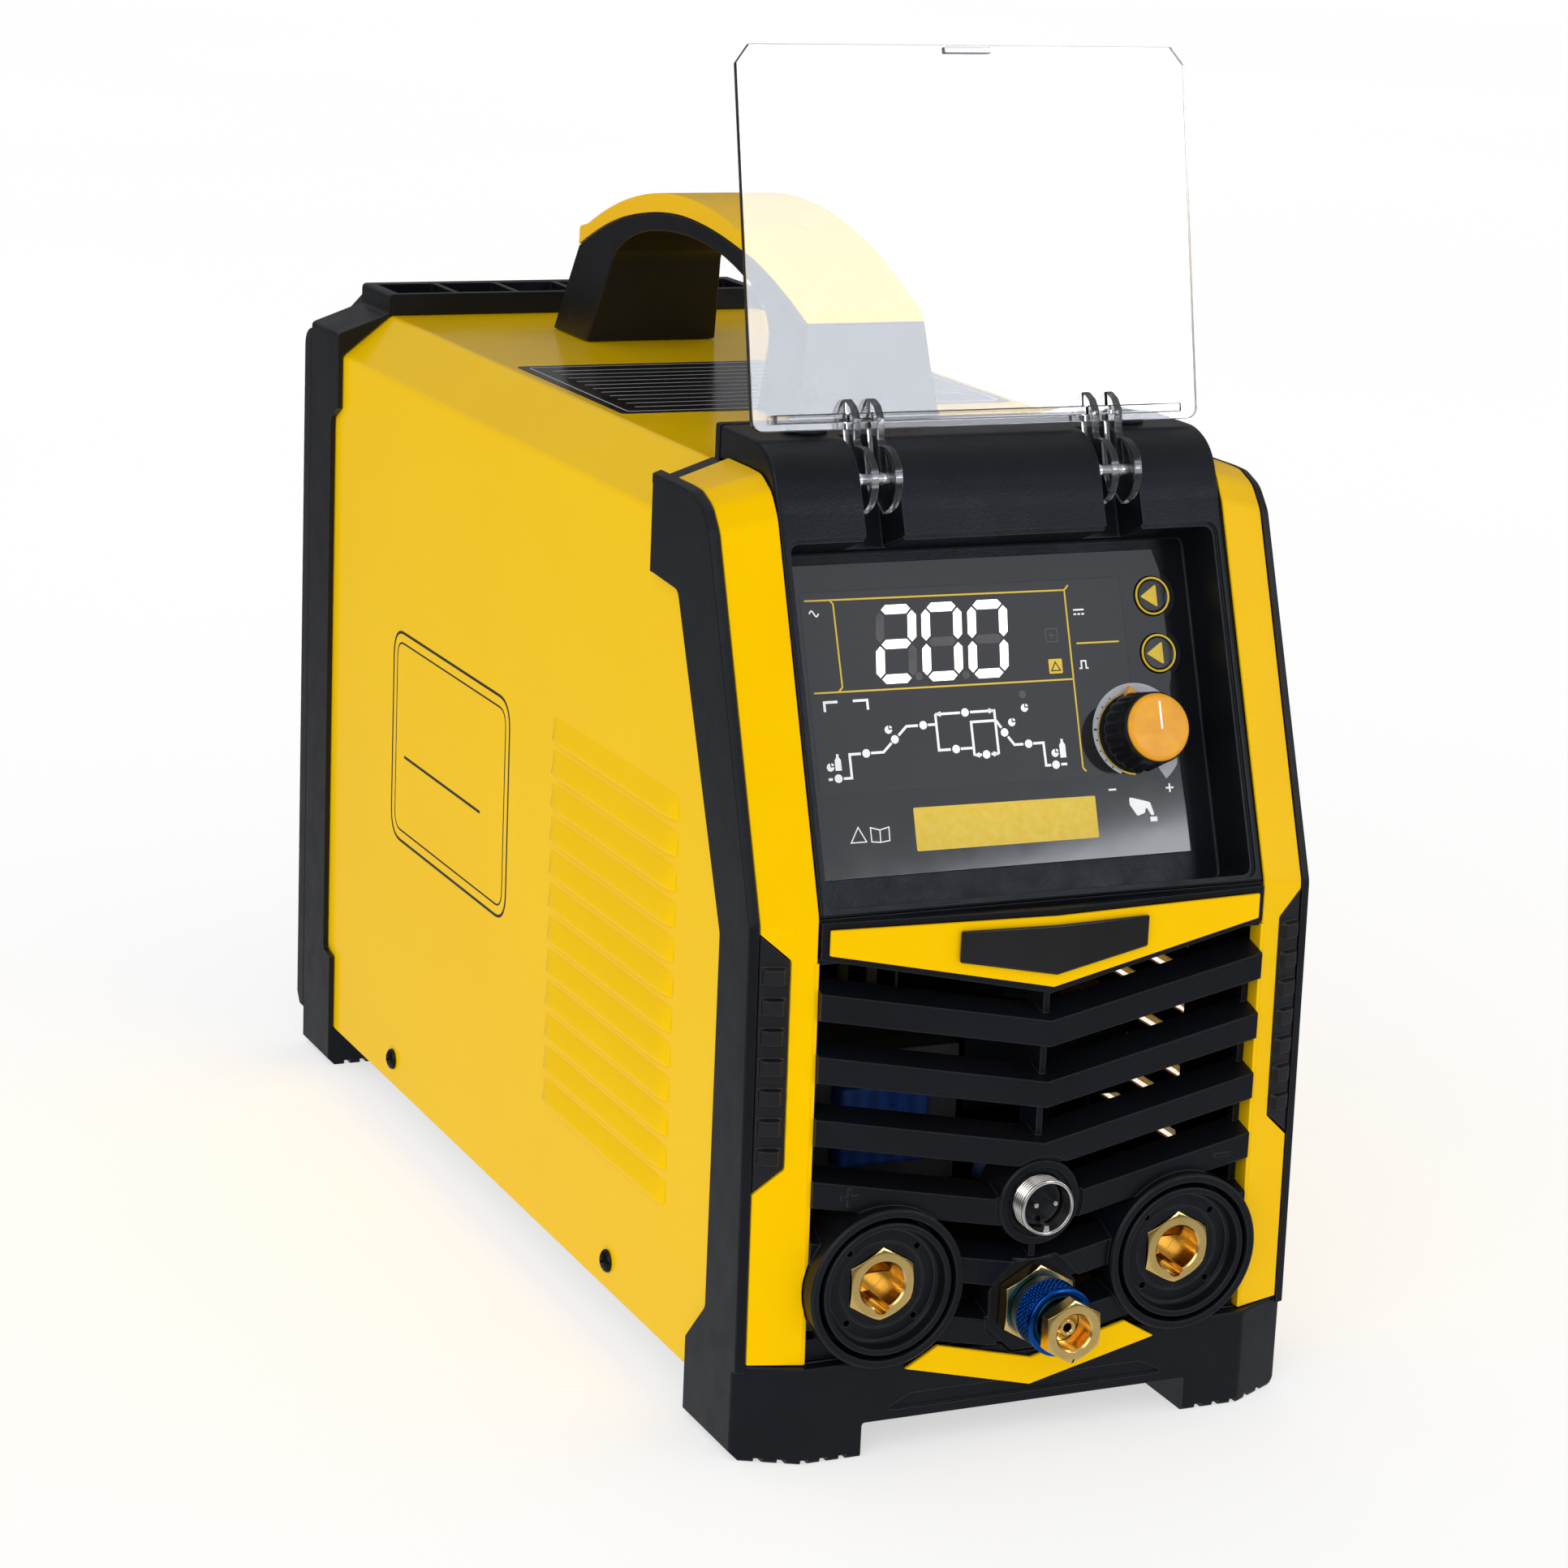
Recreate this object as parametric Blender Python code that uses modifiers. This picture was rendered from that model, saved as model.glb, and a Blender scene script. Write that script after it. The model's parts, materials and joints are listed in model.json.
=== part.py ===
"""An inverter TIG welding machine, as separate sub-parts.

Lengths are in millimetres and MM turns them into metres. The machine's own coordinates are
x across it (its right hand, seen from the front, is +x), y back from its front face and z up
from the floor. The world's origin is on the floor, under the middle of the whole machine.
"""

from math import cos, pi, radians, sin, sqrt

import bmesh
import bpy
from mathutils import Matrix, Vector

MM = 0.001
GAP = 0.3
ROUND = 24

# The whole case
FRONT_TO_ORIGIN = 190.0
HALF_WIDTH = 84.0
CASE_TOP = 267.0
FRONT_FLAT = 67.0
FOOT_TOP = 27.5
NOTCH_HEIGHT = 9.8
FOOT_INNER = 49.3

# Front frame
OUTER_EDGE = ((9.0, 27.5), (11.3, 147.5), (46.8, 243.5), (51.5, 249.0), (58.0, 251.5), (64.0, 251.8), (85.0, 251.8))
INNER_EDGE = ((3.6, 27.5), (5.9, 150.5), (42.0, 248.2), (46.3, 254.0), (52.5, 257.2), (60.0, 257.5), (85.0, 257.5))
FRAME_WALL = 2.6
STRIP_INNER, STRIP_OUTER, BORDER_RISE = 67.4, 81.0, 1.9
OPENING_HALF = 66.5
GRIP_BLOCKS, GRIP_TOP, GRIP_PITCH = 7, 137.7, 8.2
RIM_FRONT, RIM_BACK = 81.7, 85.0

# Display housing: its sloped front starts at SLOPE_FOOT and leans back
HOUSING_HALF = 66.2
HOUSING_WALL = 2.5
HOUSING_BACK = 81.4
SLOPE_FOOT = (4.4, 150.3)
SLOPE_TOP = (43.4, 254.3)
RECESS_HALF = 63.2
RECESS_LOW, RECESS_HIGH = 2.4, 98.3
RECESS_DEPTH = 18.0
RECESS_FLOOR = 2.5
SLOT_X, SLOT_HALF, SLOT_DEPTH = 35.8, 5.65, 14.0
OVERLAY_FRONT = 16.9

# Controls, placed across x and up the slope
BUTTON_X, BUTTON_HEIGHTS, BUTTON_RADIUS, BUTTON_TRAVEL = 51.0, {"upper": 81.9, "lower": 66.0}, 5.3, 0.6
KNOB_X, KNOB_HEIGHT, KNOB_RADIUS, KNOB_FRONT = 41.0, 44.4, 11.0, 3.0
SHAFT_RADIUS = 2.9

# Clear cover
HINGE_Y, HINGE_Z, PIN_RADIUS = 48.6, 256.8, 1.5
COVER_HALF, COVER_THICK, COVER_LENGTH = 67.0, 2.0, 101.5
COVER_FOOT = (59.0, 268.4)
COVER_LEAN = radians(12.0)
EAR_RADIUS, EAR_THICK, EAR_OFFSET = 8.8, 2.3, 3.5

# Grille
SLAT_TOPS = (130.9, 113.8, 96.5, 79.3, 62.1, 44.9)
SLAT_DROP, SLAT_FACE = 12.0, 7.4
GRILLE_SIDE_Y, GRILLE_NOSE_Y = 2.0, -2.3
SOCKET_X, SOCKET_Z, SOCKET_FLOOR = 44.8, 48.4, -1.2
RING_RADIUS, RING_BORE, RING_FRONT = 22.5, 20.0, 3.0
PLUG_Z, COUPLER_Z = 67.5, 39.0

# Sheet cover and rear
SHEET_HALF, SHEET = 82.0, 1.0
SHEET_SHOULDER, SHEET_TOP, SHEET_FLAT = 243.2, 256.3, 65.5
SHEET_BOTTOM = 13.5
LOUVRE_COUNT, LOUVRE_PITCH, LOUVRE_TOP = 12, 9.95, 168.8
LOUVRE_FRONT, LOUVRE_BACK = 63.0, 157.0
SCREW_Y, SCREW_Z = (103.0, 293.0), 22.0
REAR_FRONT, REAR_FACE, REAR_BACK, REAR_TOP = 355.0, 383.0, 391.0, 263.5
PANEL_FACE = 381.0
FAN_Z, FAN_RADIUS = 165.0, 57.0
BOARD_Z, BOARD_POSTS = 100.0, (124.0, 330.0)

# Handle
HANDLE_HALF = 18.5
HANDLE_MIDDLE = 224.2
HANDLE_CROWN, HANDLE_FALL = 310.3, 0.00287

PALETTE = {
    "black": ((0.022, 0.022, 0.025), 0.5, 0.0),
    "yellow": ((0.95, 0.62, 0.005), 0.35, 0.0),
    "clear": ((0.9, 0.93, 0.95), 0.05, 0.0),
    "brass": ((0.78, 0.56, 0.22), 0.25, 1.0),
    "blue": ((0.01, 0.06, 0.35), 0.3, 1.0),
    "nickel": ((0.6, 0.6, 0.6), 0.2, 1.0),
    "steel": ((0.45, 0.45, 0.46), 0.4, 1.0),
    "aluminium": ((0.7, 0.7, 0.72), 0.35, 1.0),
    "rubber": ((0.02, 0.02, 0.02), 0.8, 0.0),
    "overlay": ((0.055, 0.057, 0.065), 0.15, 0.0),
    "amber": ((0.9, 0.4, 0.01), 0.35, 0.0),
    "board": ((0.02, 0.16, 0.06), 0.4, 0.0),
    "copper": ((0.75, 0.3, 0.13), 0.35, 1.0),
    "ferrite": ((0.08, 0.08, 0.085), 0.6, 0.0),
    "tape": ((0.02, 0.12, 0.5), 0.4, 0.0),
    "label": ((0.03, 0.03, 0.032), 0.4, 0.0),
}


def frame(x_axis, y_axis, z_axis, origin):
    """A local frame in world metres, from directions and an origin in the machine's coordinates."""
    matrix = Matrix((x_axis, y_axis, z_axis)).transposed().to_4x4()
    matrix.translation = Vector((origin[0], origin[1] - FRONT_TO_ORIGIN, origin[2])) * MM
    return matrix


SLOPE_RUN = Vector((0.0, SLOPE_TOP[0] - SLOPE_FOOT[0], SLOPE_TOP[1] - SLOPE_FOOT[1])).normalized()
TOP = frame((1, 0, 0), (0, 1, 0), (0, 0, 1), (0, 0, 0))
SIDES = ((-1, "left"), (1, "right"))
FRONT = frame((1, 0, 0), (0, 0, 1), (0, -1, 0), (0, 0, 0))
SIDE = frame((0, 1, 0), (0, 0, 1), (1, 0, 0), (0, 0, 0))
REAR = frame((-1, 0, 0), (0, 0, 1), (0, 1, 0), (0, PANEL_FACE, 0))
SLOPE = frame((1, 0, 0), SLOPE_RUN, (0, -SLOPE_RUN.z, SLOPE_RUN.y), (0, *SLOPE_FOOT))


def make_collection(name):
    collection = bpy.data.collections.new(name)
    bpy.context.scene.collection.children.link(collection)
    return collection


def clear_scene():
    for obj in list(bpy.data.objects):
        bpy.data.objects.remove(obj, do_unlink=True)


clear_scene()
PARTS = make_collection("tig_welding_machine")
CUTTERS = make_collection("cutters")


def material(name):
    """The palette's material of this name, made once."""
    if name in bpy.data.materials:
        return bpy.data.materials[name]
    color, roughness, metallic = PALETTE[name]
    made = bpy.data.materials.new(name)
    made.use_nodes = True
    shader = made.node_tree.nodes["Principled BSDF"]
    shader.inputs["Base Color"].default_value = (*color, 1.0)
    shader.inputs["Roughness"].default_value = roughness
    shader.inputs["Metallic"].default_value = metallic
    if name == "clear":
        shader.inputs["Transmission Weight"].default_value = 1.0
    return made


def finish_mesh(name, work, place, finish):
    """Makes an object of a bmesh given in millimetres in a local frame."""
    bmesh.ops.scale(work, vec=(MM, MM, MM), verts=work.verts)
    bmesh.ops.transform(work, matrix=place, verts=work.verts)
    bmesh.ops.recalc_face_normals(work, faces=work.faces)
    mesh = bpy.data.meshes.new(name)
    work.to_mesh(mesh)
    work.free()
    mesh.materials.append(material(finish))
    obj = bpy.data.objects.new(name, mesh)
    PARTS.objects.link(obj)
    return obj


def box(name, low, high, finish="black", place=TOP):
    work = bmesh.new()
    bmesh.ops.create_cube(work, size=1.0)
    size = [b - a for a, b in zip(low, high)]
    middle = [(a + b) / 2 for a, b in zip(low, high)]
    bmesh.ops.scale(work, vec=size, verts=work.verts)
    bmesh.ops.translate(work, vec=middle, verts=work.verts)
    return finish_mesh(name, work, place, finish)


def disc(name, centre, radius, low, high, finish="black", place=FRONT, sides=ROUND, turn=0.0):
    """A cylinder, or with few sides a regular prism, along the frame's third axis."""
    work = bmesh.new()
    bmesh.ops.create_cone(
        work, cap_ends=True, segments=sides, radius1=radius, radius2=radius, depth=high - low
    )
    bmesh.ops.rotate(work, cent=(0, 0, 0), matrix=Matrix.Rotation(turn, 3, "Z"), verts=work.verts)
    bmesh.ops.translate(work, vec=(*centre, (low + high) / 2), verts=work.verts)
    return finish_mesh(name, work, place, finish)


def baked(obj):
    """A new welded mesh object of what this object evaluates to. The old object goes."""
    bpy.context.view_layer.update()
    graph = bpy.context.evaluated_depsgraph_get()
    mesh = bpy.data.meshes.new_from_object(obj.evaluated_get(graph))
    work = bmesh.new()
    work.from_mesh(mesh)
    bmesh.ops.remove_doubles(work, verts=work.verts, dist=1e-6)
    bmesh.ops.transform(work, matrix=obj.matrix_world, verts=work.verts)
    bmesh.ops.recalc_face_normals(work, faces=work.faces)
    work.to_mesh(mesh)
    work.free()
    name = obj.name
    bpy.data.objects.remove(obj, do_unlink=True)
    result = bpy.data.objects.new(name, mesh)
    PARTS.objects.link(result)
    return result


def flat_curve(name, outlines, half_thickness):
    """A filled 2D curve: the first outline is the edge, and any others are holes."""
    curve = bpy.data.curves.new(name, "CURVE")
    curve.dimensions = "2D"
    curve.fill_mode = "BOTH"
    curve.extrude = half_thickness * MM
    for outline in outlines:
        spline = curve.splines.new("POLY")
        spline.points.add(len(outline) - 1)
        for point, (u, v) in zip(spline.points, outline):
            point.co = (u * MM, v * MM, 0.0, 1.0)
        spline.use_cyclic_u = True
    return curve


def prism(name, outlines, low, high, finish="black", place=TOP):
    """A plate of these outlines in the frame's first two axes, from low to high along the third."""
    if not isinstance(outlines[0][0], (tuple, list)):
        outlines = [outlines]
    curve = flat_curve(name, outlines, (high - low) / 2)
    curve.materials.append(material(finish))
    obj = bpy.data.objects.new(name, curve)
    obj.matrix_world = place @ Matrix.Translation((0, 0, (low + high) / 2 * MM))
    PARTS.objects.link(obj)
    return baked(obj)


def turned(name, profile, centre=(0.0, 0.0), finish="black", place=FRONT, closed=False, steps=ROUND):
    """A turned piece: the profile is (radius, height) pairs, down the outer side from the top."""
    mesh = bpy.data.meshes.new(name)
    points = [(radius * MM, 0.0, height * MM) for radius, height in profile]
    count = len(points)
    edges = [(i, (i + 1) % count) for i in range(count if closed else count - 1)]
    mesh.from_pydata(points, edges, [])
    mesh.materials.append(material(finish))
    obj = bpy.data.objects.new(name, mesh)
    obj.matrix_world = place @ Matrix.Translation((centre[0] * MM, centre[1] * MM, 0.0))
    PARTS.objects.link(obj)
    screw = obj.modifiers.new("turn", "SCREW")
    screw.axis = "Z"
    screw.steps = screw.render_steps = steps
    screw.use_merge_vertices = True
    screw.merge_threshold = 1e-6
    return baked(obj)


def loft(name, sections, finish="black", place=TOP):
    """A solid through closed sections of equal point counts, given as x, y, z."""
    work = bmesh.new()
    rings = [[work.verts.new(point) for point in section] for section in sections]
    count = len(rings[0])
    for one, two in zip(rings, rings[1:]):
        for i in range(count):
            j = (i + 1) % count
            work.faces.new((one[i], one[j], two[j], two[i]))
    work.faces.new(rings[0])
    work.faces.new(rings[-1])
    return finish_mesh(name, work, place, finish)


def tube(name, points, radius, finish="rubber", sides=2, closed=False):
    """A round tube through points in the machine's coordinates."""
    curve = bpy.data.curves.new(name, "CURVE")
    curve.dimensions = "3D"
    curve.bevel_depth = radius * MM
    curve.bevel_resolution = sides
    curve.use_fill_caps = not closed
    spline = curve.splines.new("POLY")
    spline.points.add(len(points) - 1)
    for point, (x, y, z) in zip(spline.points, points):
        point.co = (x * MM, (y - FRONT_TO_ORIGIN) * MM, z * MM, 1.0)
    spline.use_cyclic_u = closed
    curve.materials.append(material(finish))
    obj = bpy.data.objects.new(name, curve)
    PARTS.objects.link(obj)
    return baked(obj)


def combine(target, tool, operation):
    """Adds a Boolean with this tool, which moves to the cutters' collection."""
    modifier = target.modifiers.new(tool.name, "BOOLEAN")
    modifier.object = tool
    modifier.operation = operation
    PARTS.objects.unlink(tool)
    CUTTERS.objects.link(tool)
    tool.hide_render = True
    tool.display_type = "WIRE"
    return target


def cut(target, *tools):
    for tool in tools:
        combine(target, tool, "DIFFERENCE")
    return target


def join(target, *others):
    for other in others:
        combine(target, other, "UNION")
    return target


def mirrored_outline(half):
    """A closed outline from its right half, listed from the bottom to the top."""
    return list(half) + [(-x, z) for x, z in reversed(half) if x > 0]


def circle(centre, radius, sides=ROUND, turn=0.0):
    steps = [turn + 2 * pi * i / sides for i in range(sides)]
    return [(centre[0] + radius * cos(a), centre[1] + radius * sin(a)) for a in steps]


def arc(centre, radius, start, end, steps):
    angles = [radians(start + (end - start) * i / steps) for i in range(steps + 1)]
    return [(centre[0] + radius * cos(a), centre[1] + radius * sin(a)) for a in angles]


def on_slope(height, depth):
    """The machine's (y, z) of a point up the sloped front and below its surface."""
    return (
        SLOPE_FOOT[0] + height * SLOPE_RUN.y + depth * SLOPE_RUN.z,
        SLOPE_FOOT[1] + height * SLOPE_RUN.z - depth * SLOPE_RUN.y,
    )


def offset(profile, distance):
    """An open profile moved sideways, to the left of its direction when distance is positive."""
    moved = []
    for i, (y, z) in enumerate(profile):
        before = profile[max(i - 1, 0)]
        after = profile[min(i + 1, len(profile) - 1)]
        run, rise = after[0] - before[0], after[1] - before[1]
        length = sqrt(run * run + rise * rise)
        moved.append((y - rise / length * distance, z + run / length * distance))
    return moved


def chamfer_profile(x):
    """The front corner's (y, z) profile at a distance x from the middle."""
    share = (abs(x) - FRONT_FLAT) / (HALF_WIDTH - FRONT_FLAT)
    return [
        (a[0] + (b[0] - a[0]) * share, a[1] + (b[1] - a[1]) * share) for a, b in zip(INNER_EDGE, OUTER_EDGE)
    ]


def corner_front(x, z):
    """How far back the front corner's upright face is."""
    (low_y, low_z), (high_y, high_z) = chamfer_profile(x)[:2]
    return low_y + (high_y - low_y) * (z - low_z) / (high_z - low_z)


# ---------------------------------------------------------------- front frame


def foot_outline(front, back):
    """The plan of the frame's base, with its chamfered front corners."""
    corner = front + 8.9
    return [
        (-HALF_WIDTH, back),
        (-HALF_WIDTH, corner),
        (-FRONT_FLAT, front),
        (FRONT_FLAT, front),
        (HALF_WIDTH, corner),
        (HALF_WIDTH, back),
    ]


def notch_under(name, front, back):
    """The gap between the feet, and the bevels along the feet's outer lower edges."""
    tools = [box(name + "_notch", (-FOOT_INNER, front, -5), (FOOT_INNER, back, NOTCH_HEIGHT))]
    for side in (-1, 1):
        edge = [(side * 78.5, -3), (side * 90, -3), (side * 90, 8.5)]
        tools.append(prism(f"{name}_bevel_{side}", edge, -back, -front, place=FRONT))
    return tools


def make_front_frame():
    base = prism("front_frame", foot_outline(0.0, 41.7), 0.0, FOOT_TOP, place=TOP)
    sections = []
    for x in (-HALF_WIDTH, -FRONT_FLAT, FRONT_FLAT, HALF_WIDTH):
        section = [(x, y, z) for y, z in chamfer_profile(x)]
        sections.append(section + [(x, RIM_BACK, FOOT_TOP - 4), (x, section[0][1], FOOT_TOP - 4)])
    join(base, loft("frame_body", sections))
    join(base, box("frame_rim", (-66.2, RIM_FRONT - 1, 257), (66.2, RIM_BACK, CASE_TOP)))
    for side in (-1, 1):
        sections = []
        for x in (STRIP_OUTER + GAP, HALF_WIDTH):
            profile = chamfer_profile(x)
            profile[0] = (profile[0][0], FOOT_TOP - 2)
            outer, inner = offset(profile, BORDER_RISE), offset(profile, -1.0)
            outer[0], inner[0] = (outer[0][0], FOOT_TOP - 2), (inner[0][0], FOOT_TOP - 2)
            sections.append([(side * x, y, z) for y, z in outer + inner[::-1]])
        join(base, loft(f"frame_border_{side}", sections))
    hollow = []
    for x, roof in ((-82.3, 249.4), (-66.0, 256.7), (66.0, 256.7), (82.3, 249.4)):
        inner = offset(chamfer_profile(max(abs(x), FRONT_FLAT)), -FRAME_WALL)
        points = [(x, y, z) for y, z in inner[:3]]
        corner = inner[2][0] + 0.36 * (roof - inner[2][1])
        hollow.append(points + [(x, corner, roof), (x, 95, roof), (x, 95, 12.6), (x, inner[0][0], 12.6)])
    cut(base, loft("frame_hollow", hollow))
    rear = [(28.3, 36.6), (28.3, 141.4), (64.6, 225.8), (82, 227), (140, 227), (140, -10), (41.75, -10), (41.75, 22.5)]
    cut(base, prism("frame_rear_cut", rear, -90, 90, place=SIDE))
    cut(base, box("frame_opening", (-OPENING_HALF, -10, FOOT_TOP + GAP), (OPENING_HALF, RIM_FRONT, 280)))
    for side in (-1, 1):
        ring = disc(f"frame_ring_{side}", (side * SOCKET_X, SOCKET_Z), RING_RADIUS + GAP, -20, 10)
        cut(base, ring)
    cut(base, disc("frame_coupler_notch", (0, COUPLER_Z - 1), 14.7, -14.0, 10.0, sides=8, turn=pi / 8))
    cut(base, *notch_under("front", -5, 60))
    return base


def make_trim_strip(side, name):
    sections = []
    for x in (STRIP_INNER, STRIP_OUTER):
        profile = chamfer_profile(x)[:-1]
        profile[0] = (profile[0][0], FOOT_TOP + GAP)
        profile.append((77.0, profile[-1][1]))
        outer, inner = offset(profile, 1.5), offset(profile, GAP)
        outer[0] = (outer[0][0], FOOT_TOP + GAP)
        inner[0] = (inner[0][0], FOOT_TOP + GAP)
        sections.append([(side * x, y, z) for y, z in outer + inner[::-1]])
    strip = loft(name, sections, "yellow")
    outline = [(side * x, z) for x, z in ((73.0, 82.5), (73.0, 139.4), (90.0, 154.2), (90.0, 67.4))]
    ring = disc(f"{name}_ring", (side * SOCKET_X, SOCKET_Z), RING_RADIUS + GAP, -20, 10)
    return cut(strip, prism(f"{name}_notch", outline, -40, 10, place=FRONT), ring)


def make_grip_pad(side, name):
    sections = []
    for x, low, high in ((73.3, 82.8, 139.1), (STRIP_OUTER, 76.5, 145.8)):
        bottom, top = corner_front(x, low) - GAP, corner_front(x, high) - GAP
        sections.append(
            [
                (side * x, bottom - 1.2, low),
                (side * x, bottom, low),
                (side * x, top, high),
                (side * x, top - 1.2, high),
            ]
        )
    pad = loft(name, sections, "rubber")
    for i in range(GRIP_BLOCKS):
        z = GRIP_TOP - GRIP_PITCH * i
        sections = []
        for x in (73.9, 80.2):
            front = corner_front(x, z - 2.4) - GAP
            sections.append(
                [
                    (side * x, front - 0.4, z),
                    (side * x, front - 2.4, z - 1.2),
                    (side * x, front - 2.4, z - 3.8),
                    (side * x, front - 0.4, z - 4.8),
                ]
            )
        join(pad, loft(f"{name}_block_{i}", sections))
    return pad


# ------------------------------------------------------------ display housing


def make_display_housing():
    back = HOUSING_BACK
    outer = [SLOPE_FOOT, SLOPE_TOP, (46.3, 260.2), (50.8, 264.3), (57.0, 266.8), (back, 266.8), (back, SLOPE_FOOT[1])]
    shell = prism("display_housing", outer, -HOUSING_HALF, HOUSING_HALF, place=SIDE)
    inner = [(7.3, 140), (46.1, 253.6), (48.7, 258.4), (52.4, 262.0), (57.5, 264.3), (95, 264.3), (95, 140)]
    limit = HOUSING_HALF - HOUSING_WALL
    cut(shell, prism("housing_hollow", inner, -limit, limit, place=SIDE))
    floor = RECESS_DEPTH + RECESS_FLOOR
    tub = [on_slope(0.5, 0.5), on_slope(0.5, floor), on_slope(RECESS_HIGH + 2.5, floor), on_slope(RECESS_HIGH + 2.5, 0.5)]
    join(shell, prism("housing_tub", tub, -limit - 1, limit + 1, place=SIDE))
    for side in (-1, 1):
        walls = [
            on_slope(RECESS_HIGH + 0.5, 0.5),
            on_slope(RECESS_HIGH + 0.5, SLOT_DEPTH + 2),
            on_slope(116, SLOT_DEPTH + 2),
            (63.4, 256.5),
            (63.4, 265.5),
            (57.2, 265.5),
            (51.5, 263.0),
            (47.2, 259.0),
            (44.3, 254.0),
        ]
        x = side * SLOT_X
        join(shell, prism(f"slot_walls_{side}", walls, x - SLOT_HALF - 2, x + SLOT_HALF + 2, place=SIDE))
    recess = [
        on_slope(RECESS_LOW, -20),
        on_slope(RECESS_LOW, RECESS_DEPTH),
        on_slope(RECESS_HIGH, RECESS_DEPTH),
        on_slope(RECESS_HIGH, -20),
    ]
    cut(shell, prism("housing_recess", recess, -RECESS_HALF, RECESS_HALF, place=SIDE))
    for side in (-1, 1):
        slot = [
            on_slope(RECESS_HIGH - 2, -20),
            on_slope(RECESS_HIGH - 2, SLOT_DEPTH),
            on_slope(115, SLOT_DEPTH),
            (61.2, 257.2),
            (61.2, 290),
            (0, 290),
        ]
        x = side * SLOT_X
        cut(shell, prism(f"slot_{side}", slot, x - SLOT_HALF, x + SLOT_HALF, place=SIDE))
        pin = disc(f"pin_hole_{side}", (HINGE_Y, HINGE_Z), PIN_RADIUS + GAP, x - 7.0, x + 7.0, place=SIDE, sides=12, turn=0.17)
        cut(shell, pin)
    for name, height in BUTTON_HEIGHTS.items():
        cut(shell, disc(f"button_hole_{name}", (BUTTON_X, height), BUTTON_RADIUS + 0.4, -30, -10, place=SLOPE))
    cut(shell, disc("bush_hole", (KNOB_X, KNOB_HEIGHT), 4.6, -30, -10, place=SLOPE))
    cut(shell, box("housing_rear_cut", (-80, 64.5, 100), (80, 100, 258)))
    return shell


def make_overlay():
    edge = [(-57.0, 10.9), (55.0, 10.9), (54.2, 30.0), (53.6, 56.5)]
    for height in (BUTTON_HEIGHTS["lower"], BUTTON_HEIGHTS["upper"]):
        edge += arc((BUTTON_X, height), 7.2, -60, 60, 6)
    edge += [(52.6, 95.0), (-57.0, 95.0)]
    overlay = prism("display_overlay", edge, -OVERLAY_FRONT - 0.8, -OVERLAY_FRONT, "overlay", SLOPE)
    for name, height in BUTTON_HEIGHTS.items():
        cut(overlay, disc(f"overlay_hole_{name}", (BUTTON_X, height), BUTTON_RADIUS + 0.4, -30, -10, place=SLOPE))
    return cut(overlay, disc("overlay_bush_hole", (KNOB_X, KNOB_HEIGHT), 5.4, -30, -10, place=SLOPE))


def make_display_board():
    return box("display_board", (-58, 8, -29.6), (60, 88, -28), "board", SLOPE)


def make_button(name, height):
    profile = [
        (0, -16.2),
        (BUTTON_RADIUS - 0.5, -16.2),
        (BUTTON_RADIUS, -16.6),
        (BUTTON_RADIUS, -21.5),
        (2.0, -22.2),
        (2.0, -27.1),
        (0, -27.1),
    ]
    return turned(f"button_{name}", profile, (BUTTON_X, height), "black", SLOPE, steps=24)


def make_encoder():
    centre = (KNOB_X, KNOB_HEIGHT)
    low = (KNOB_X - 6.5, KNOB_HEIGHT - 6.0, -27.7)
    high = (KNOB_X + 6.5, KNOB_HEIGHT + 6.0, -21.0)
    body = box("encoder_body", low, high, "steel", SLOPE)
    join(body, disc("encoder_bush", centre, 4.2, -22.0, -16.6, place=SLOPE, sides=24))
    cut(body, disc("encoder_bore", centre, SHAFT_RADIUS + GAP, -24.0, -10.0, place=SLOPE, sides=24))
    cut(body, disc("encoder_chamber", centre, 4.0, -27.2, -22.6, place=SLOPE, sides=24))
    disc("encoder_plunger", centre, 3.4, -26.3, -24.9, "black", SLOPE, 24)
    profile = [(0, -4.6), (SHAFT_RADIUS - 0.4, -4.6), (SHAFT_RADIUS, -5.0), (SHAFT_RADIUS, -24.6), (0, -24.6)]
    turned("encoder_shaft", profile, centre, "steel", SLOPE, steps=24)


def make_knob():
    centre = (KNOB_X, KNOB_HEIGHT)
    bore, front = SHAFT_RADIUS + GAP, -KNOB_FRONT
    outer = [
        (0, front - 0.9),
        (9.2, front - 0.9),
        (9.9, front - 1.5),
        (10.4, -7.0),
        (KNOB_RADIUS, -14.6),
        (bore, -14.6),
        (bore, -4.3),
        (0, -4.3),
    ]
    turned("control_knob", outer, centre, "black", SLOPE)
    cap = [(0, front + 0.6), (8.6, front + 0.6), (9.3, front), (9.3, front - 0.6), (0, front - 0.6)]
    turned("knob_cap", cap, centre, "amber", SLOPE)


# --------------------------------------------------------------- clear cover


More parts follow.
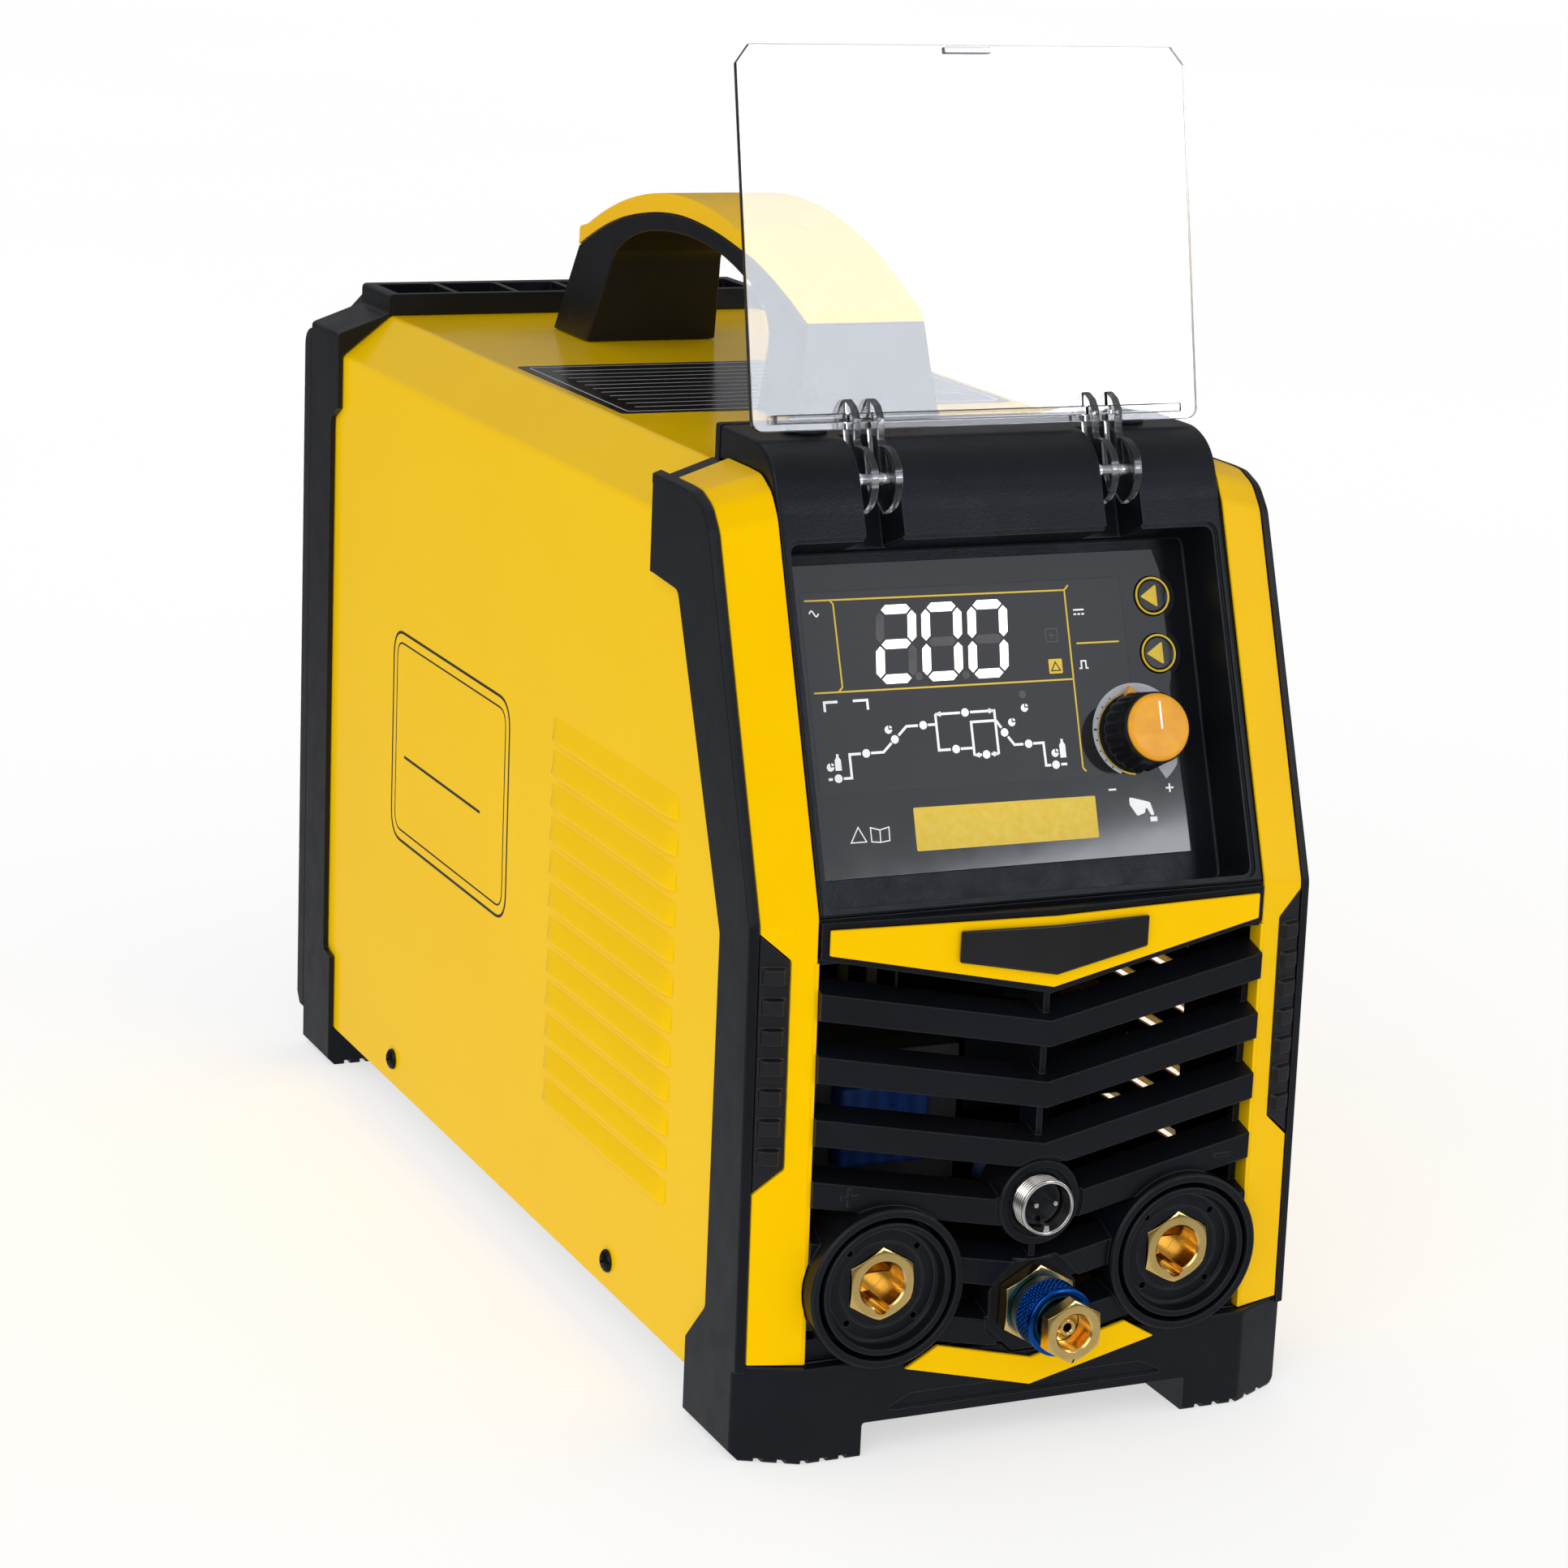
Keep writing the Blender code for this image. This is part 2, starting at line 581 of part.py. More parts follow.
def make_clear_cover():
    plate_frame = frame(
        (1, 0, 0),
        (0, sin(COVER_LEAN), cos(COVER_LEAN)),
        (0, -cos(COVER_LEAN), sin(COVER_LEAN)),
        (0, *COVER_FOOT),
    )
    half, length = COVER_HALF, COVER_LENGTH
    outline = arc((half - 3, 3), 3, -90, 0, 3)
    outline += [(half, length - 5.0), (half - 4.0, length)]
    outline += [(-half + 4.0, length), (-half, length - 5.0)]
    outline += arc((-half + 3, 3), 3, 180, 270, 3)
    cover = prism("clear_cover", outline, -COVER_THICK / 2, COVER_THICK / 2, "clear", plate_frame)
    join(cover, box("cover_lip", (-half + 6, 1.9, 0.5), (half - 6, 4.3, 3.0), place=plate_frame))
    join(cover, box("cover_tab", (-7, length - 2.5, 0.5), (7, length - 0.6, 2.6), place=plate_frame))
    centre = (HINGE_Y, HINGE_Z)
    for side in (-1, 1):
        for edge in (-1, 1):
            middle = side * SLOT_X + edge * EAR_OFFSET
            low, high = middle - EAR_THICK / 2, middle + EAR_THICK / 2
            ear = arc(centre, EAR_RADIUS, 75, 235, 10) + [(46.9, 247.6), (52.6, 250.6), (54.9, 254.5)]
            ear += [(57.2, 262.0), (60.6, 273.0), (60.2, 277.1), (55.5, 275.3), (53.0, 272.5), (52.4, 266.6)]
            hole = circle(centre, PIN_RADIUS + GAP, 12)[::-1]
            join(cover, prism(f"ear_{side}_{edge}", [ear, hole], low, high, place=SIDE))
    return cover


def make_hinge_fittings():
    for side, name in SIDES:
        x = side * SLOT_X
        disc(f"hinge_pin_{name}", (HINGE_Y, HINGE_Z), PIN_RADIUS, x - 6.8, x + 6.8, "steel", SIDE, 16)
        disc(f"cover_bumper_{name}", (side * 48.0, 67.2), 6.2, 267.1, 269.4, "rubber", TOP, 20)


# -------------------------------------------------------------------- grille


def nose(x, side_y=GRILLE_SIDE_Y, nose_y=GRILLE_NOSE_Y):
    """How far back the front face is at x: its plan is a shallow V."""
    return nose_y + (side_y - nose_y) * abs(x) / HOUSING_HALF


def make_slat(name, top):
    section = [(0, 0), (9, 2.5), (9, 0.3), (2.2, -1.8), (2.2, -SLAT_FACE), (0, -SLAT_FACE)]
    sections = []
    for x, drop in ((-66.0, 0.0), (0.0, SLAT_DROP), (66.0, 0.0)):
        sections.append([(x, nose(x) + y, top - drop + z) for y, z in section])
    return loft(name, sections)


def make_band(name, stations, back, thick, finish):
    """A plate that follows the grille's shallow V. Stations are (x, low z, high z)."""
    sections = []
    for x, low, high in stations:
        y = nose(x) + back
        sections.append([(x, y, low), (x, y + thick, low), (x, y + thick, high), (x, y, high)])
    return loft(name, sections, finish)


def make_grille():
    grille = make_band("front_grille", ((-66.0, 139.6, 149.6), (0, 126.2, 149.6), (66.0, 139.6, 149.6)), 1.4, 3.0, "black")
    for side in (-1, 1):
        join(grille, box(f"grille_rail_{side}", (side * 65 - 0.9, 5.9, 28.2), (side * 65 + 1.1, 10.8, 144.0)))
    for i, top in enumerate(SLAT_TOPS):
        join(grille, make_slat(f"slat_{i}", top))
    join(grille, box("grille_web", (-0.9, 1.6, 30.0), (0.9, 11.0, 129.0)))
    join(grille, box("grille_sill", (-65.5, 4.2, 27.0), (65.5, 7.2, 34.0)))
    cut(grille, box("grille_floor", (-70, -10, 0), (70, 20, FOOT_TOP + 2 * GAP)))
    for side in (-1, 1):
        centre = (side * SOCKET_X, SOCKET_Z)
        join(grille, disc(f"ring_{side}", centre, RING_RADIUS, -12.0, RING_FRONT))
    join(grille, disc("plug_boss", (0, PLUG_Z), 12.1, -12.2, 1.5))
    join(grille, disc("coupler_boss", (0, COUPLER_Z - 1), 14.3, -12.1, 0.2, sides=8, turn=pi / 8))
    cut(grille, disc("plug_clearance", (0, PLUG_Z), 13.2, 1.5, 12.0, sides=24))
    cut(grille, disc("coupler_clearance", (0, COUPLER_Z - 1), 15.6, 0.2, 12.0, sides=8, turn=pi / 8))
    for side in (-1, 1):
        centre = (side * SOCKET_X, SOCKET_Z)
        cut(grille, disc(f"ring_recess_{side}", centre, RING_BORE, -8.0, 12.0))
        cut(grille, disc(f"ring_hole_{side}", centre, 15.6, -20.0, 12.0))
    cut(grille, disc("plug_hole", (0, PLUG_Z), 8.2, -20.0, 10.0, sides=24))
    cut(grille, disc("coupler_hole", (0, COUPLER_Z), 6.3, -20.0, 10.0, sides=24))
    return grille


def make_badges():
    wide = ((-64.0, 141.0, 147.9), (0, 128.3, 147.9), (64.0, 141.0, 147.9))
    make_band("upper_chevron", wide, 0.0, 1.4 - GAP, "yellow")
    make_band("badge_plate", ((-28.0, 137.2, 145.8), (0, 132.0, 145.8), (28.0, 137.2, 145.8)), -1.4, 1.4 - GAP, "black")
    half = [(0, 15.1), (38.0, 24.4), (28.5, 30.0), (0, 23.0)]
    outline = mirrored_outline(half)
    prism("lower_chevron", outline, GAP, 1.7, "yellow", FRONT)


# ------------------------------------------------------------- connections


def make_socket(side, name):
    centre = (side * SOCKET_X, SOCKET_Z)
    profile = [
        (18.7, RING_FRONT),
        (18.7, -5.2),
        (19.6, -5.2),
        (19.6, -7.7),
        (15.2, -7.7),
        (15.2, -38.0),
        (11.3, -38.0),
        (11.3, -7.7),
        (8.0, -7.7),
        (8.0, SOCKET_FLOOR),
        (16.6, SOCKET_FLOOR),
        (16.9, RING_FRONT),
    ]
    insulator = turned(f"socket_insulator_{name}", profile, centre, "black", closed=True)
    for i in range(4):
        angle = pi / 4 + i * pi / 2
        spot = (centre[0] + 14.0 * cos(angle), centre[1] + 14.0 * sin(angle))
        cut(insulator, disc(f"insulator_hole_{name}_{i}", spot, 0.9, -4.0, 2.0, sides=10))
    cut(insulator, disc(f"insulator_hex_{name}", centre, 10.6 + 0.4, -10.0, 2.0, sides=6, turn=pi / 6))
    brass = disc(f"socket_contact_{name}", centre, 10.6, -9.0, -0.3, "brass", sides=6, turn=pi / 6)
    join(brass, disc(f"contact_body_{name}", centre, 10.9, -44.0, -8.0, sides=24))
    cut(brass, disc(f"contact_bore_{name}", centre, 6.4, -34.0, 5.0, sides=24))
    keyway = disc(f"contact_keyway_{name}", (centre[0], centre[1] - 6.2), 2.1, -34.1, 5.0, sides=12)
    return cut(brass, keyway)


def make_control_connector():
    centre = (0, PLUG_Z)
    shell = [(7.9, 6.3), (7.9, -24.0), (6.8, -24.0), (6.8, 6.3)]
    turned("connector_shell", shell, centre, "nickel", closed=True, steps=24)
    insert = disc("connector_insert", centre, 6.5, -22.0, 1.0, "black", sides=20)
    for x in (-2.6, 2.6):
        join(insert, disc(f"contact_{x}", (x, PLUG_Z), 0.9, -25.0, 5.2, "nickel", sides=10))


def make_gas_coupler():
    centre = (0, COUPLER_Z)
    profile = [
        (5.6, 17.4),
        (5.6, 5.0),
        (9.4, 5.0),
        (11.6, 4.6),
        (11.6, 0.6),
        (6.0, 0.6),
        (6.0, -22.0),
        (4.4, -26.0),
        (2.6, -26.0),
        (2.6, 17.4),
    ]
    turned("coupler_body", profile, centre, "brass", closed=True, steps=24)
    sleeve = [(8.6, 17.6), (9.7, 17.0), (9.7, 9.4), (9.2, 9.0), (9.2, 5.9), (8.6, 5.4), (5.9, 5.4)]
    sleeve += [(5.9, 14.0), (7.0, 14.0), (7.0, 17.6)]
    turned("coupler_sleeve", sleeve, centre, "blue", closed=True)
    nipple = disc("coupler_nipple", centre, 9.0, 20.6, 25.0, "brass", sides=6, turn=pi / 6)
    join(nipple, disc("nipple_collar", centre, 6.6, 17.7, 20.8, sides=24))
    cut(nipple, disc("nipple_bore", centre, 5.0, 17.0, 30.0, sides=24))


# ----------------------------------------------------- sheet cover and base


def sheet_section(inset):
    """The sheet cover's outline, open at the bottom, from its lower left to its lower right."""
    half, shoulder, top, flat = SHEET_HALF - inset, SHEET_SHOULDER - inset * 0.3, SHEET_TOP - inset, SHEET_FLAT - inset * 0.5
    right = [(half, SHEET_BOTTOM), (half, shoulder), (flat, top)]
    return [(-x, z) for x, z in right] + right[::-1]


def make_louvre(name, side, z):
    """The hood pressed out over one slot, as a solid, and the hollow that opens it downwards."""
    solid, hollow = [], []
    for y, out in ((LOUVRE_FRONT, 0.4), (LOUVRE_FRONT + 7, 1.6), (LOUVRE_BACK - 7, 1.6), (LOUVRE_BACK, 0.4)):
        far = SHEET_HALF + out
        points = [(SHEET_HALF - 0.6, z + 0.4), (far, z - 5.4), (far, z - 6.2), (SHEET_HALF - 0.6, z - 6.2)]
        solid.append([(side * x, y, height) for x, height in points])
    for y, out in ((LOUVRE_FRONT + 4, 0.3), (LOUVRE_FRONT + 8, 1.0), (LOUVRE_BACK - 8, 1.0), (LOUVRE_BACK - 4, 0.3)):
        far = SHEET_HALF + out
        points = [(80.0, z - 1.7), (81.6, z - 1.7), (far, z - 5.5), (far, z - 6.9), (80.0, z - 6.9)]
        hollow.append([(side * x, y, height) for x, height in points])
    return loft(name, solid), loft(name + "_hollow", hollow)


def make_sheet_cover():
    ring = sheet_section(0.0) + sheet_section(SHEET)[::-1]
    cover = prism("sheet_cover", ring, -373.0, -18.0, "yellow", FRONT)
    front = [(-10, -10), (18.5, -10), (18.5, 148), (62, 241), (71, 251), (71, 300), (-10, 300)]
    cut(cover, prism("sheet_front_cut", front, -90, 90, place=SIDE))
    for side in (-1, 1):
        for i in range(LOUVRE_COUNT):
            hood, hollow = make_louvre(f"louvre_{side}_{i}", side, LOUVRE_TOP - i * LOUVRE_PITCH)
            cut(join(cover, hood), hollow)
    for y in SCREW_Y:
        cut(cover, disc(f"screw_hole_{y}", (y, SCREW_Z), 2.3, -90, 90, place=SIDE, sides=12))
    return cover


def make_cover_screws():
    profile = [(0, 84.0), (1.8, 83.9), (3.1, 83.2), (3.4, 82.3), (1.7, 82.3), (1.7, 76.0), (0, 76.0)]
    for side, name in SIDES:
        place = frame((0, side, 0), (0, 0, 1), (side, 0, 0), (0, 0, 0))
        for y, end in zip(SCREW_Y, ("front", "rear")):
            turned(f"cover_screw_{name}_{end}", profile, (side * y, SCREW_Z), "black", place, steps=12)


def make_base_tray():
    right = [(80.6, 34.0), (79.4, 34.0), (79.4, 14.2)]
    outline = [(-80.6, 13.0), (80.6, 13.0)] + right + [(-x, z) for x, z in right[::-1]]
    tray = prism("base_tray", outline, -370.0, -20.0, "steel", FRONT)
    for side in (-1, 1):
        for y in SCREW_Y:
            hole = disc(f"tray_hole_{side}_{y}", (y, SCREW_Z), 2.1, side * 80 - 3, side * 80 + 3, place=SIDE, sides=12)
            cut(tray, hole)
        for y in BOARD_POSTS:
            join(tray, disc(f"board_post_{side}_{y}", (side * 70.0, y), 3.0, 13.4, BOARD_Z - GAP, place=TOP, sides=10))
    return tray


# --------------------------------------------------------------------- rear


def make_rear_frame():
    half = [(HALF_WIDTH, 0), (HALF_WIDTH, 250.8), (66.8, 257.0), (66.8, REAR_TOP)]
    body = prism("rear_frame", mirrored_outline(half), -REAR_FACE, -REAR_FRONT, place=FRONT)
    cavity = [(82.3, 12.6), (82.3, 243.9), (66.0, 256.8)]
    cut(body, prism("rear_cavity", mirrored_outline(cavity), -375.0, -340.0, place=FRONT))
    window = [(76, 16), (76, 240), (62, 249)]
    cut(body, prism("rear_window", mirrored_outline(window), -400.0, -370.0, place=FRONT))
    for i in range(6):
        x = -63.0 + i * 21.2
        cut(body, box(f"rear_pocket_{i}", (x, 357.2, 258.4), (x + 19.4, 378.5, 270)))
    side_cut = [(340, 36), (362, 40), (362, 222), (352, 228), (340, 228)]
    cut(body, prism("rear_side_cut", side_cut, -90, 90, place=SIDE))
    cut(body, *notch_under("rear", 340, 400))
    cut(body, prism("rear_heel", [(386, -5), (400, -5), (400, 12)], -90, 90, place=SIDE))
    return body


def make_rear_bumper():
    """One rubber moulding: a pad down each side, joined by a bar along the top."""
    low, high = REAR_FACE + GAP, REAR_BACK - 2.0
    bumper = prism("rear_bumper", [(-80, 243), (80, 243), (62, 262), (-62, 262)], -high, -low, "rubber", FRONT)
    cut(bumper, prism("bumper_gap", [(-90, 200), (90, 200), (74, 240), (60, 252), (-60, 252), (-74, 240)], -400, -380))
    for side in (-1, 1):
        profile = [(low, 12), (388.0, 12), (REAR_BACK, 16)]
        profile += arc((384.5, 242.0), 6.5, 0, 90, 4) + [(low, 248.5)]
        near, far = sorted((side * 77.5, side * 83.9))
        join(bumper, prism(f"side_pad_{side}", profile, near, far, "rubber", SIDE))
    return bumper


def make_rear_panel():
    edge = mirrored_outline([(75.7, 16.3), (75.7, 239.8), (61.8, 248.7)])
    panel = prism("rear_panel", edge, -2.0, 0.0, "black", REAR)
    cut(panel, disc("fan_window", (0, FAN_Z), FAN_RADIUS - 1, -10, 10, place=REAR, sides=32))
    for radius in (14.0, 28.0, 42.0):
        ring = [circle((0, FAN_Z), radius, 20), circle((0, FAN_Z), radius - 2.4, 20)[::-1]]
        join(panel, prism(f"fan_grille_ring_{radius}", ring, -1.8, -0.2, place=REAR))
    for i in range(4):
        turn = Matrix.Translation((0, FAN_Z * MM, 0)) @ Matrix.Rotation(pi / 4 + i * pi / 2, 4, "Z")
        join(panel, box(f"fan_grille_bar_{i}", (-FAN_RADIUS - 2, -1.4, -1.9), (-12.6, 1.4, -0.1), place=REAR @ turn))
    cut(panel, box("switch_window", (21.8, 56.8, -10), (48.2, 79.2, 10), place=REAR))
    cut(panel, disc("gland_hole", (-35, 68), 9.3, -10, 10, place=REAR, sides=24))
    cut(panel, disc("inlet_hole", (35, 36), 6.6, -10, 10, place=REAR, sides=24))
    return panel


def make_fan():
    hole = circle((0, FAN_Z), FAN_RADIUS, 40)
    square = [(-60, FAN_Z - 60), (60, FAN_Z - 60), (60, FAN_Z + 60), (-60, FAN_Z + 60)]
    housing = prism("fan_housing", [square, hole[::-1]], -27.3, -2.3, "black", REAR)
    for i in range(4):
        angle = pi / 4 + i * pi / 2
        turn = Matrix.Translation((0, FAN_Z * MM, 0)) @ Matrix.Rotation(angle, 4, "Z")
        join(housing, box(f"fan_strut_{i}", (14, -2, -27.0), (59, 2, -24.5), place=REAR @ turn))
    join(housing, disc("fan_mount", (0, FAN_Z), 19.0, -27.1, -24.0, place=REAR))
    rotor = disc("fan_rotor", (0, FAN_Z), 20.0, -23.0, -5.0, "black", REAR, 24)
    for i in range(7):
        turn = Matrix.Translation((0, FAN_Z * MM, -13.5 * MM)) @ Matrix.Rotation(2 * pi * i / 7, 4, "Z")
        pitch = Matrix.Rotation(radians(38), 4, "X")
        blade = box(f"fan_blade_{i}", (16, -11, -0.9), (54.5, 11, 0.9), place=REAR @ turn @ pitch)
        join(rotor, blade)


def make_power_switch():
    body = box("switch_body", (22.1, 57.1, -22.0), (47.9, 78.9, 1.4), "black", REAR)
    join(body, box("switch_bezel", (19.5, 54.5, 0.3), (50.5, 81.5, 2.2), place=REAR))
    cut(body, box("switch_well", (24.5, 59.0, -9.0), (45.5, 77.0, 10.0), place=REAR))
    rocker = [(61.0, 3.0), (64.5, 1.7), (68.0, 1.4), (75.0, 5.2), (75.0, 0.0), (68.0, -7.6), (61.0, -2.4)]
    tilt = frame((0, 0, 1), (0, 1, 0), (-1, 0, 0), (0, PANEL_FACE, 0))
    return prism("switch_rocker", rocker, 25.0, 45.0, "black", tilt)


def make_rear_fittings():
    gland = [(9.0, 13.0), (10.8, 12.0), (12.4, 8.0), (12.4, 0.3), (8.9, 0.3), (8.9, -12.0), (5.0, -12.0), (5.0, 13.0)]
    turned("mains_gland", gland, (-35, 68), "black", REAR, closed=True, steps=24)
    inlet = [(3.0, 24.0), (4.6, 20.5), (3.7, 20.0), (4.6, 15.5), (3.7, 15.0), (4.6, 10.5), (3.7, 10.0), (9.0, 9.6), (9.0, 0.3), (6.2, 0.3), (6.2, -22.0), (2.3, -22.0), (2.3, 24.0)]
    turned("gas_inlet", inlet, (35, 36), "brass", REAR, closed=True, steps=20)


# ------------------------------------------------------------------- handle


def crown(y):
    return HANDLE_CROWN - HANDLE_FALL * (y - HANDLE_MIDDLE) ** 2


def make_handle():
    seat = SHEET_TOP + GAP
    boundary = [(309.8, 285.0), (298.0, 290.0), (284.0, 295.0), (268.0, 299.2), (246.0, 302.8), (224.2, 304.2)]
    boundary += [(2 * HANDLE_MIDDLE - y - 8.2 * (y - 224.2) / 85.6 * 0.72, z) for y, z in boundary[-2::-1]]
    under = [(279.7, 286.0), (268.0, 292.2), (250.0, 296.8), (224.2, 298.8), (200.0, 297.4), (180.0, 293.0), (166.0, 287.5), (157.0, 279.0)]
    outline = [(321.0, seat)] + boundary + [(127.5, seat), (157.5, seat)] + under[::-1] + [(291.5, seat)]
    body = prism("handle_body", outline, -HANDLE_HALF, HANDLE_HALF, "black", SIDE)
    rear, front = boundary[0], boundary[-1]
    top = [(y, crown(y)) for y in (306.0, 290.0, 270.0, 247.0, 224.2, 201.0, 178.0, 158.0, 142.0)]
    top += [(front[0] + 2.5, 288.5)]
    cap = [(rear[0], rear[1] + 0.6)] + top + [(y, z + 0.35) for y, z in boundary[::-1]]
    prism("handle_cap", cap, -HANDLE_HALF, HANDLE_HALF, "yellow", SIDE)
    return body


# ---------------------------------------------------------------- internals


def make_heat_sink():
    """A finned extrusion across the case, with its fins pointing down into the airflow."""
    fins = []
    for i in range(13):
        x = -62.0 + i * 10.0
        fins += [(x, 84.0), (x, 44.0), (x + 4.0, 44.0), (x + 4.0, 84.0)]
    outline = [(-64.0, 90.0), (-64.0, 84.0)] + fins + [(64.0, 84.0), (64.0, 90.0)]
    return prism("heat_sink", outline, -325.0, -190.0, "aluminium", FRONT)


def make_power_board():
    board = box("power_board", (-74, 118, BOARD_Z), (74, 336, BOARD_Z + 1.6), "board")
    profile = [(0, 142.0), (13.0, 142.0), (14.0, 141.0), (14.0, 101.9), (0, 101.9)]
    for side, name in SIDES:
        turned(f"bus_capacitor_{name}", profile, (side * 24.0, 306.0), "tape", TOP, steps=20)
    return board


def make_magnetics():
    core = box("transformer_core", (-44, 62, 52), (6, 104, 92), "ferrite")
    cut(core, box("core_window", (-33, 50, 60), (-5, 120, 84)))
    for x in (-43.0, -12.0):
        join(core, box(f"core_leg_{x}", (x, 78, 14.5), (x + 4, 90, 53)))
    box("transformer_winding", (-32.7, 56, 60.3), (-5.3, 110, 83.7), "tape")
    ring = [(22.0, 122.0), (22.0, 101.9), (8.0, 101.9), (8.0, 122.0)]
    return turned("output_choke", ring, (-38.0, 250.0), "copper", TOP, closed=True, steps=20)


def make_gas_path():
    """The solenoid valve behind the rear panel, and the hose from it to the front coupler."""
    valve = box("gas_valve", (-44.5, 326, 26.0), (-25.5, 352, 46.0), "steel")
    join(valve, box("valve_coil", (-43.0, 330, 45.0), (-27.0, 348, 62.0)))
    hose = [(0, 28.5, 39.0), (0, 40, 38.5), (0, 60, 33), (-2, 90, 24), (-5, 130, 19.5), (-8, 170, 19), (-12, 210, 19), (-18, 250, 19.5), (-26, 285, 24), (-32, 305, 31), (-35, 318, 36), (-35, 325.5, 36)]
    tube("gas_hose", hose, 4.0, "rubber", 2)
    return valve


def make_arc_starter():
    unit = box("arc_starter", (8, 62, 72), (60, 108, 100), "black")
    for x in (10.0, 54.0):
        join(unit, box(f"starter_leg_{x}", (x, 78, 14.5), (x + 4, 90, 73)))
    return join(unit, disc("starter_coil", (34, 85), 14.0, 99.0, 118.0, place=TOP, sides=20))


# ------------------------------------------------------------------- joints


def pivot(name, place, centre, height, nodes):
    """An empty on a joint's axis, with the pieces that move about or along it."""
    empty = bpy.data.objects.new(name, None)
    PARTS.objects.link(empty)
    empty.empty_display_size = 0.01
    empty.matrix_world = place @ Matrix.Translation((centre[0] * MM, centre[1] * MM, height * MM))
    bpy.context.view_layer.update()
    for node in nodes:
        piece = bpy.data.objects[node]
        piece.parent = empty
        piece.matrix_parent_inverse = empty.matrix_world.inverted()
    return empty


def make_pivots():
    pivot("cover_hinge_axis", SIDE, (HINGE_Y, HINGE_Z), 0.0, ["clear_cover"])
    knob = (KNOB_X, KNOB_HEIGHT)
    pivot("knob_axis", SLOPE, knob, -15.0, ["encoder_plunger", "encoder_shaft", "control_knob", "knob_cap"])
    for name, height in BUTTON_HEIGHTS.items():
        pivot(f"button_{name}_axis", SLOPE, (BUTTON_X, height), -17.0, [f"button_{name}"])
    pivot("sleeve_axis", FRONT, (0, COUPLER_Z), 10.0, ["coupler_sleeve"])
    pivot("fan_axis", REAR, (0, FAN_Z), -14.0, ["fan_rotor"])
    pivot("switch_axis", REAR, (35, 68), -2.6, ["switch_rocker"])


def smooth_round_faces():
    for obj in PARTS.objects:
        if obj.type == "MESH":
            obj.data.shade_smooth()
            obj.data.set_sharp_from_angle(angle=radians(35))


def main():
    make_front_frame()
    for side, name in SIDES:
        make_trim_strip(side, f"trim_strip_{name}")
        make_grip_pad(side, f"grip_pad_{name}")
        make_socket(side, name)
    make_display_housing()
    make_overlay()
    make_display_board()
    for name, height in BUTTON_HEIGHTS.items():
        make_button(name, height)
    make_encoder()
    make_knob()
    make_clear_cover()
    make_hinge_fittings()
    make_grille()
    make_badges()
    make_control_connector()
    make_gas_coupler()
    make_sheet_cover()
    make_cover_screws()
    make_base_tray()
    make_rear_frame()
    make_rear_bumper()
    make_rear_panel()
    make_fan()
    make_power_switch()
    make_rear_fittings()
    make_handle()
    make_heat_sink()
    make_power_board()
    make_magnetics()
    make_gas_path()
    make_arc_starter()
    make_pivots()
    smooth_round_faces()


main()
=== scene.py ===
"""The looks of an inverter TIG welding machine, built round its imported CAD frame.

Lengths are in millimetres and MM turns them into metres. The machine's own coordinates are
x across it, y back from its front face and z up from the floor, as in the CAD source.
"""

import json
from math import cos, hypot, pi, radians, sin, sqrt, tan

import bmesh
import bpy
from mathutils import Matrix, Vector


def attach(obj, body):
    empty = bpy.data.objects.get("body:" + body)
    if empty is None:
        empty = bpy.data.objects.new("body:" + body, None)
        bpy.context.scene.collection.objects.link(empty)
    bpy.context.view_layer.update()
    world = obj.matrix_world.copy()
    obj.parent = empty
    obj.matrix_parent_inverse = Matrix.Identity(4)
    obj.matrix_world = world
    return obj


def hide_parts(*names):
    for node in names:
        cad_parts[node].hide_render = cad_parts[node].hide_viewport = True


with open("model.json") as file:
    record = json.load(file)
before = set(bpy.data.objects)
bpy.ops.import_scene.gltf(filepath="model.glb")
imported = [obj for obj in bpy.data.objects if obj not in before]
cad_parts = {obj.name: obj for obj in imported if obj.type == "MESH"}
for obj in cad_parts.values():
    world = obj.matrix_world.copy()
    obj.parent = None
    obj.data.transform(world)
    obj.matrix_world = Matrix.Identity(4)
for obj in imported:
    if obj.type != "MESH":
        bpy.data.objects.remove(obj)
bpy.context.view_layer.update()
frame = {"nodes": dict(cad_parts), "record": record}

MM = 0.001
RECORD = frame["record"]
NODE_BODY = {node: body for body, nodes in RECORD["behaviour"]["bodies"].items() for node in nodes}
NODE_SLOT = {part["node"]: part["material_slot"] for part in RECORD["subparts"]}

# The whole case
FRONT_TO_ORIGIN = 190.0
HALF_WIDTH, CASE_TOP, FRONT_FLAT = 84.0, 267.0, 67.0
FOOT_TOP, NOTCH_HEIGHT, FOOT_INNER = 27.5, 9.8, 49.3
GAP = 0.3

# Front frame
OUTER_EDGE = (
    (9.0, 27.5), (11.3, 147.5), (46.8, 243.5), (51.5, 249.0), (58.0, 251.5), (64.0, 251.8), (85.0, 251.8)
)
INNER_EDGE = (
    (3.6, 27.5), (5.9, 150.5), (42.0, 248.2), (46.3, 254.0), (52.5, 257.2), (60.0, 257.5), (85.0, 257.5)
)
FRAME_WALL, OPENING_HALF = 2.6, 66.5
STRIP_INNER, STRIP_OUTER, BORDER_RISE = 66.55, 81.0, 1.9
GRIP_BLOCKS, GRIP_TOP, GRIP_PITCH = 7, 137.7, 8.2
RIM_FRONT, RIM_BACK = 81.7, 85.0

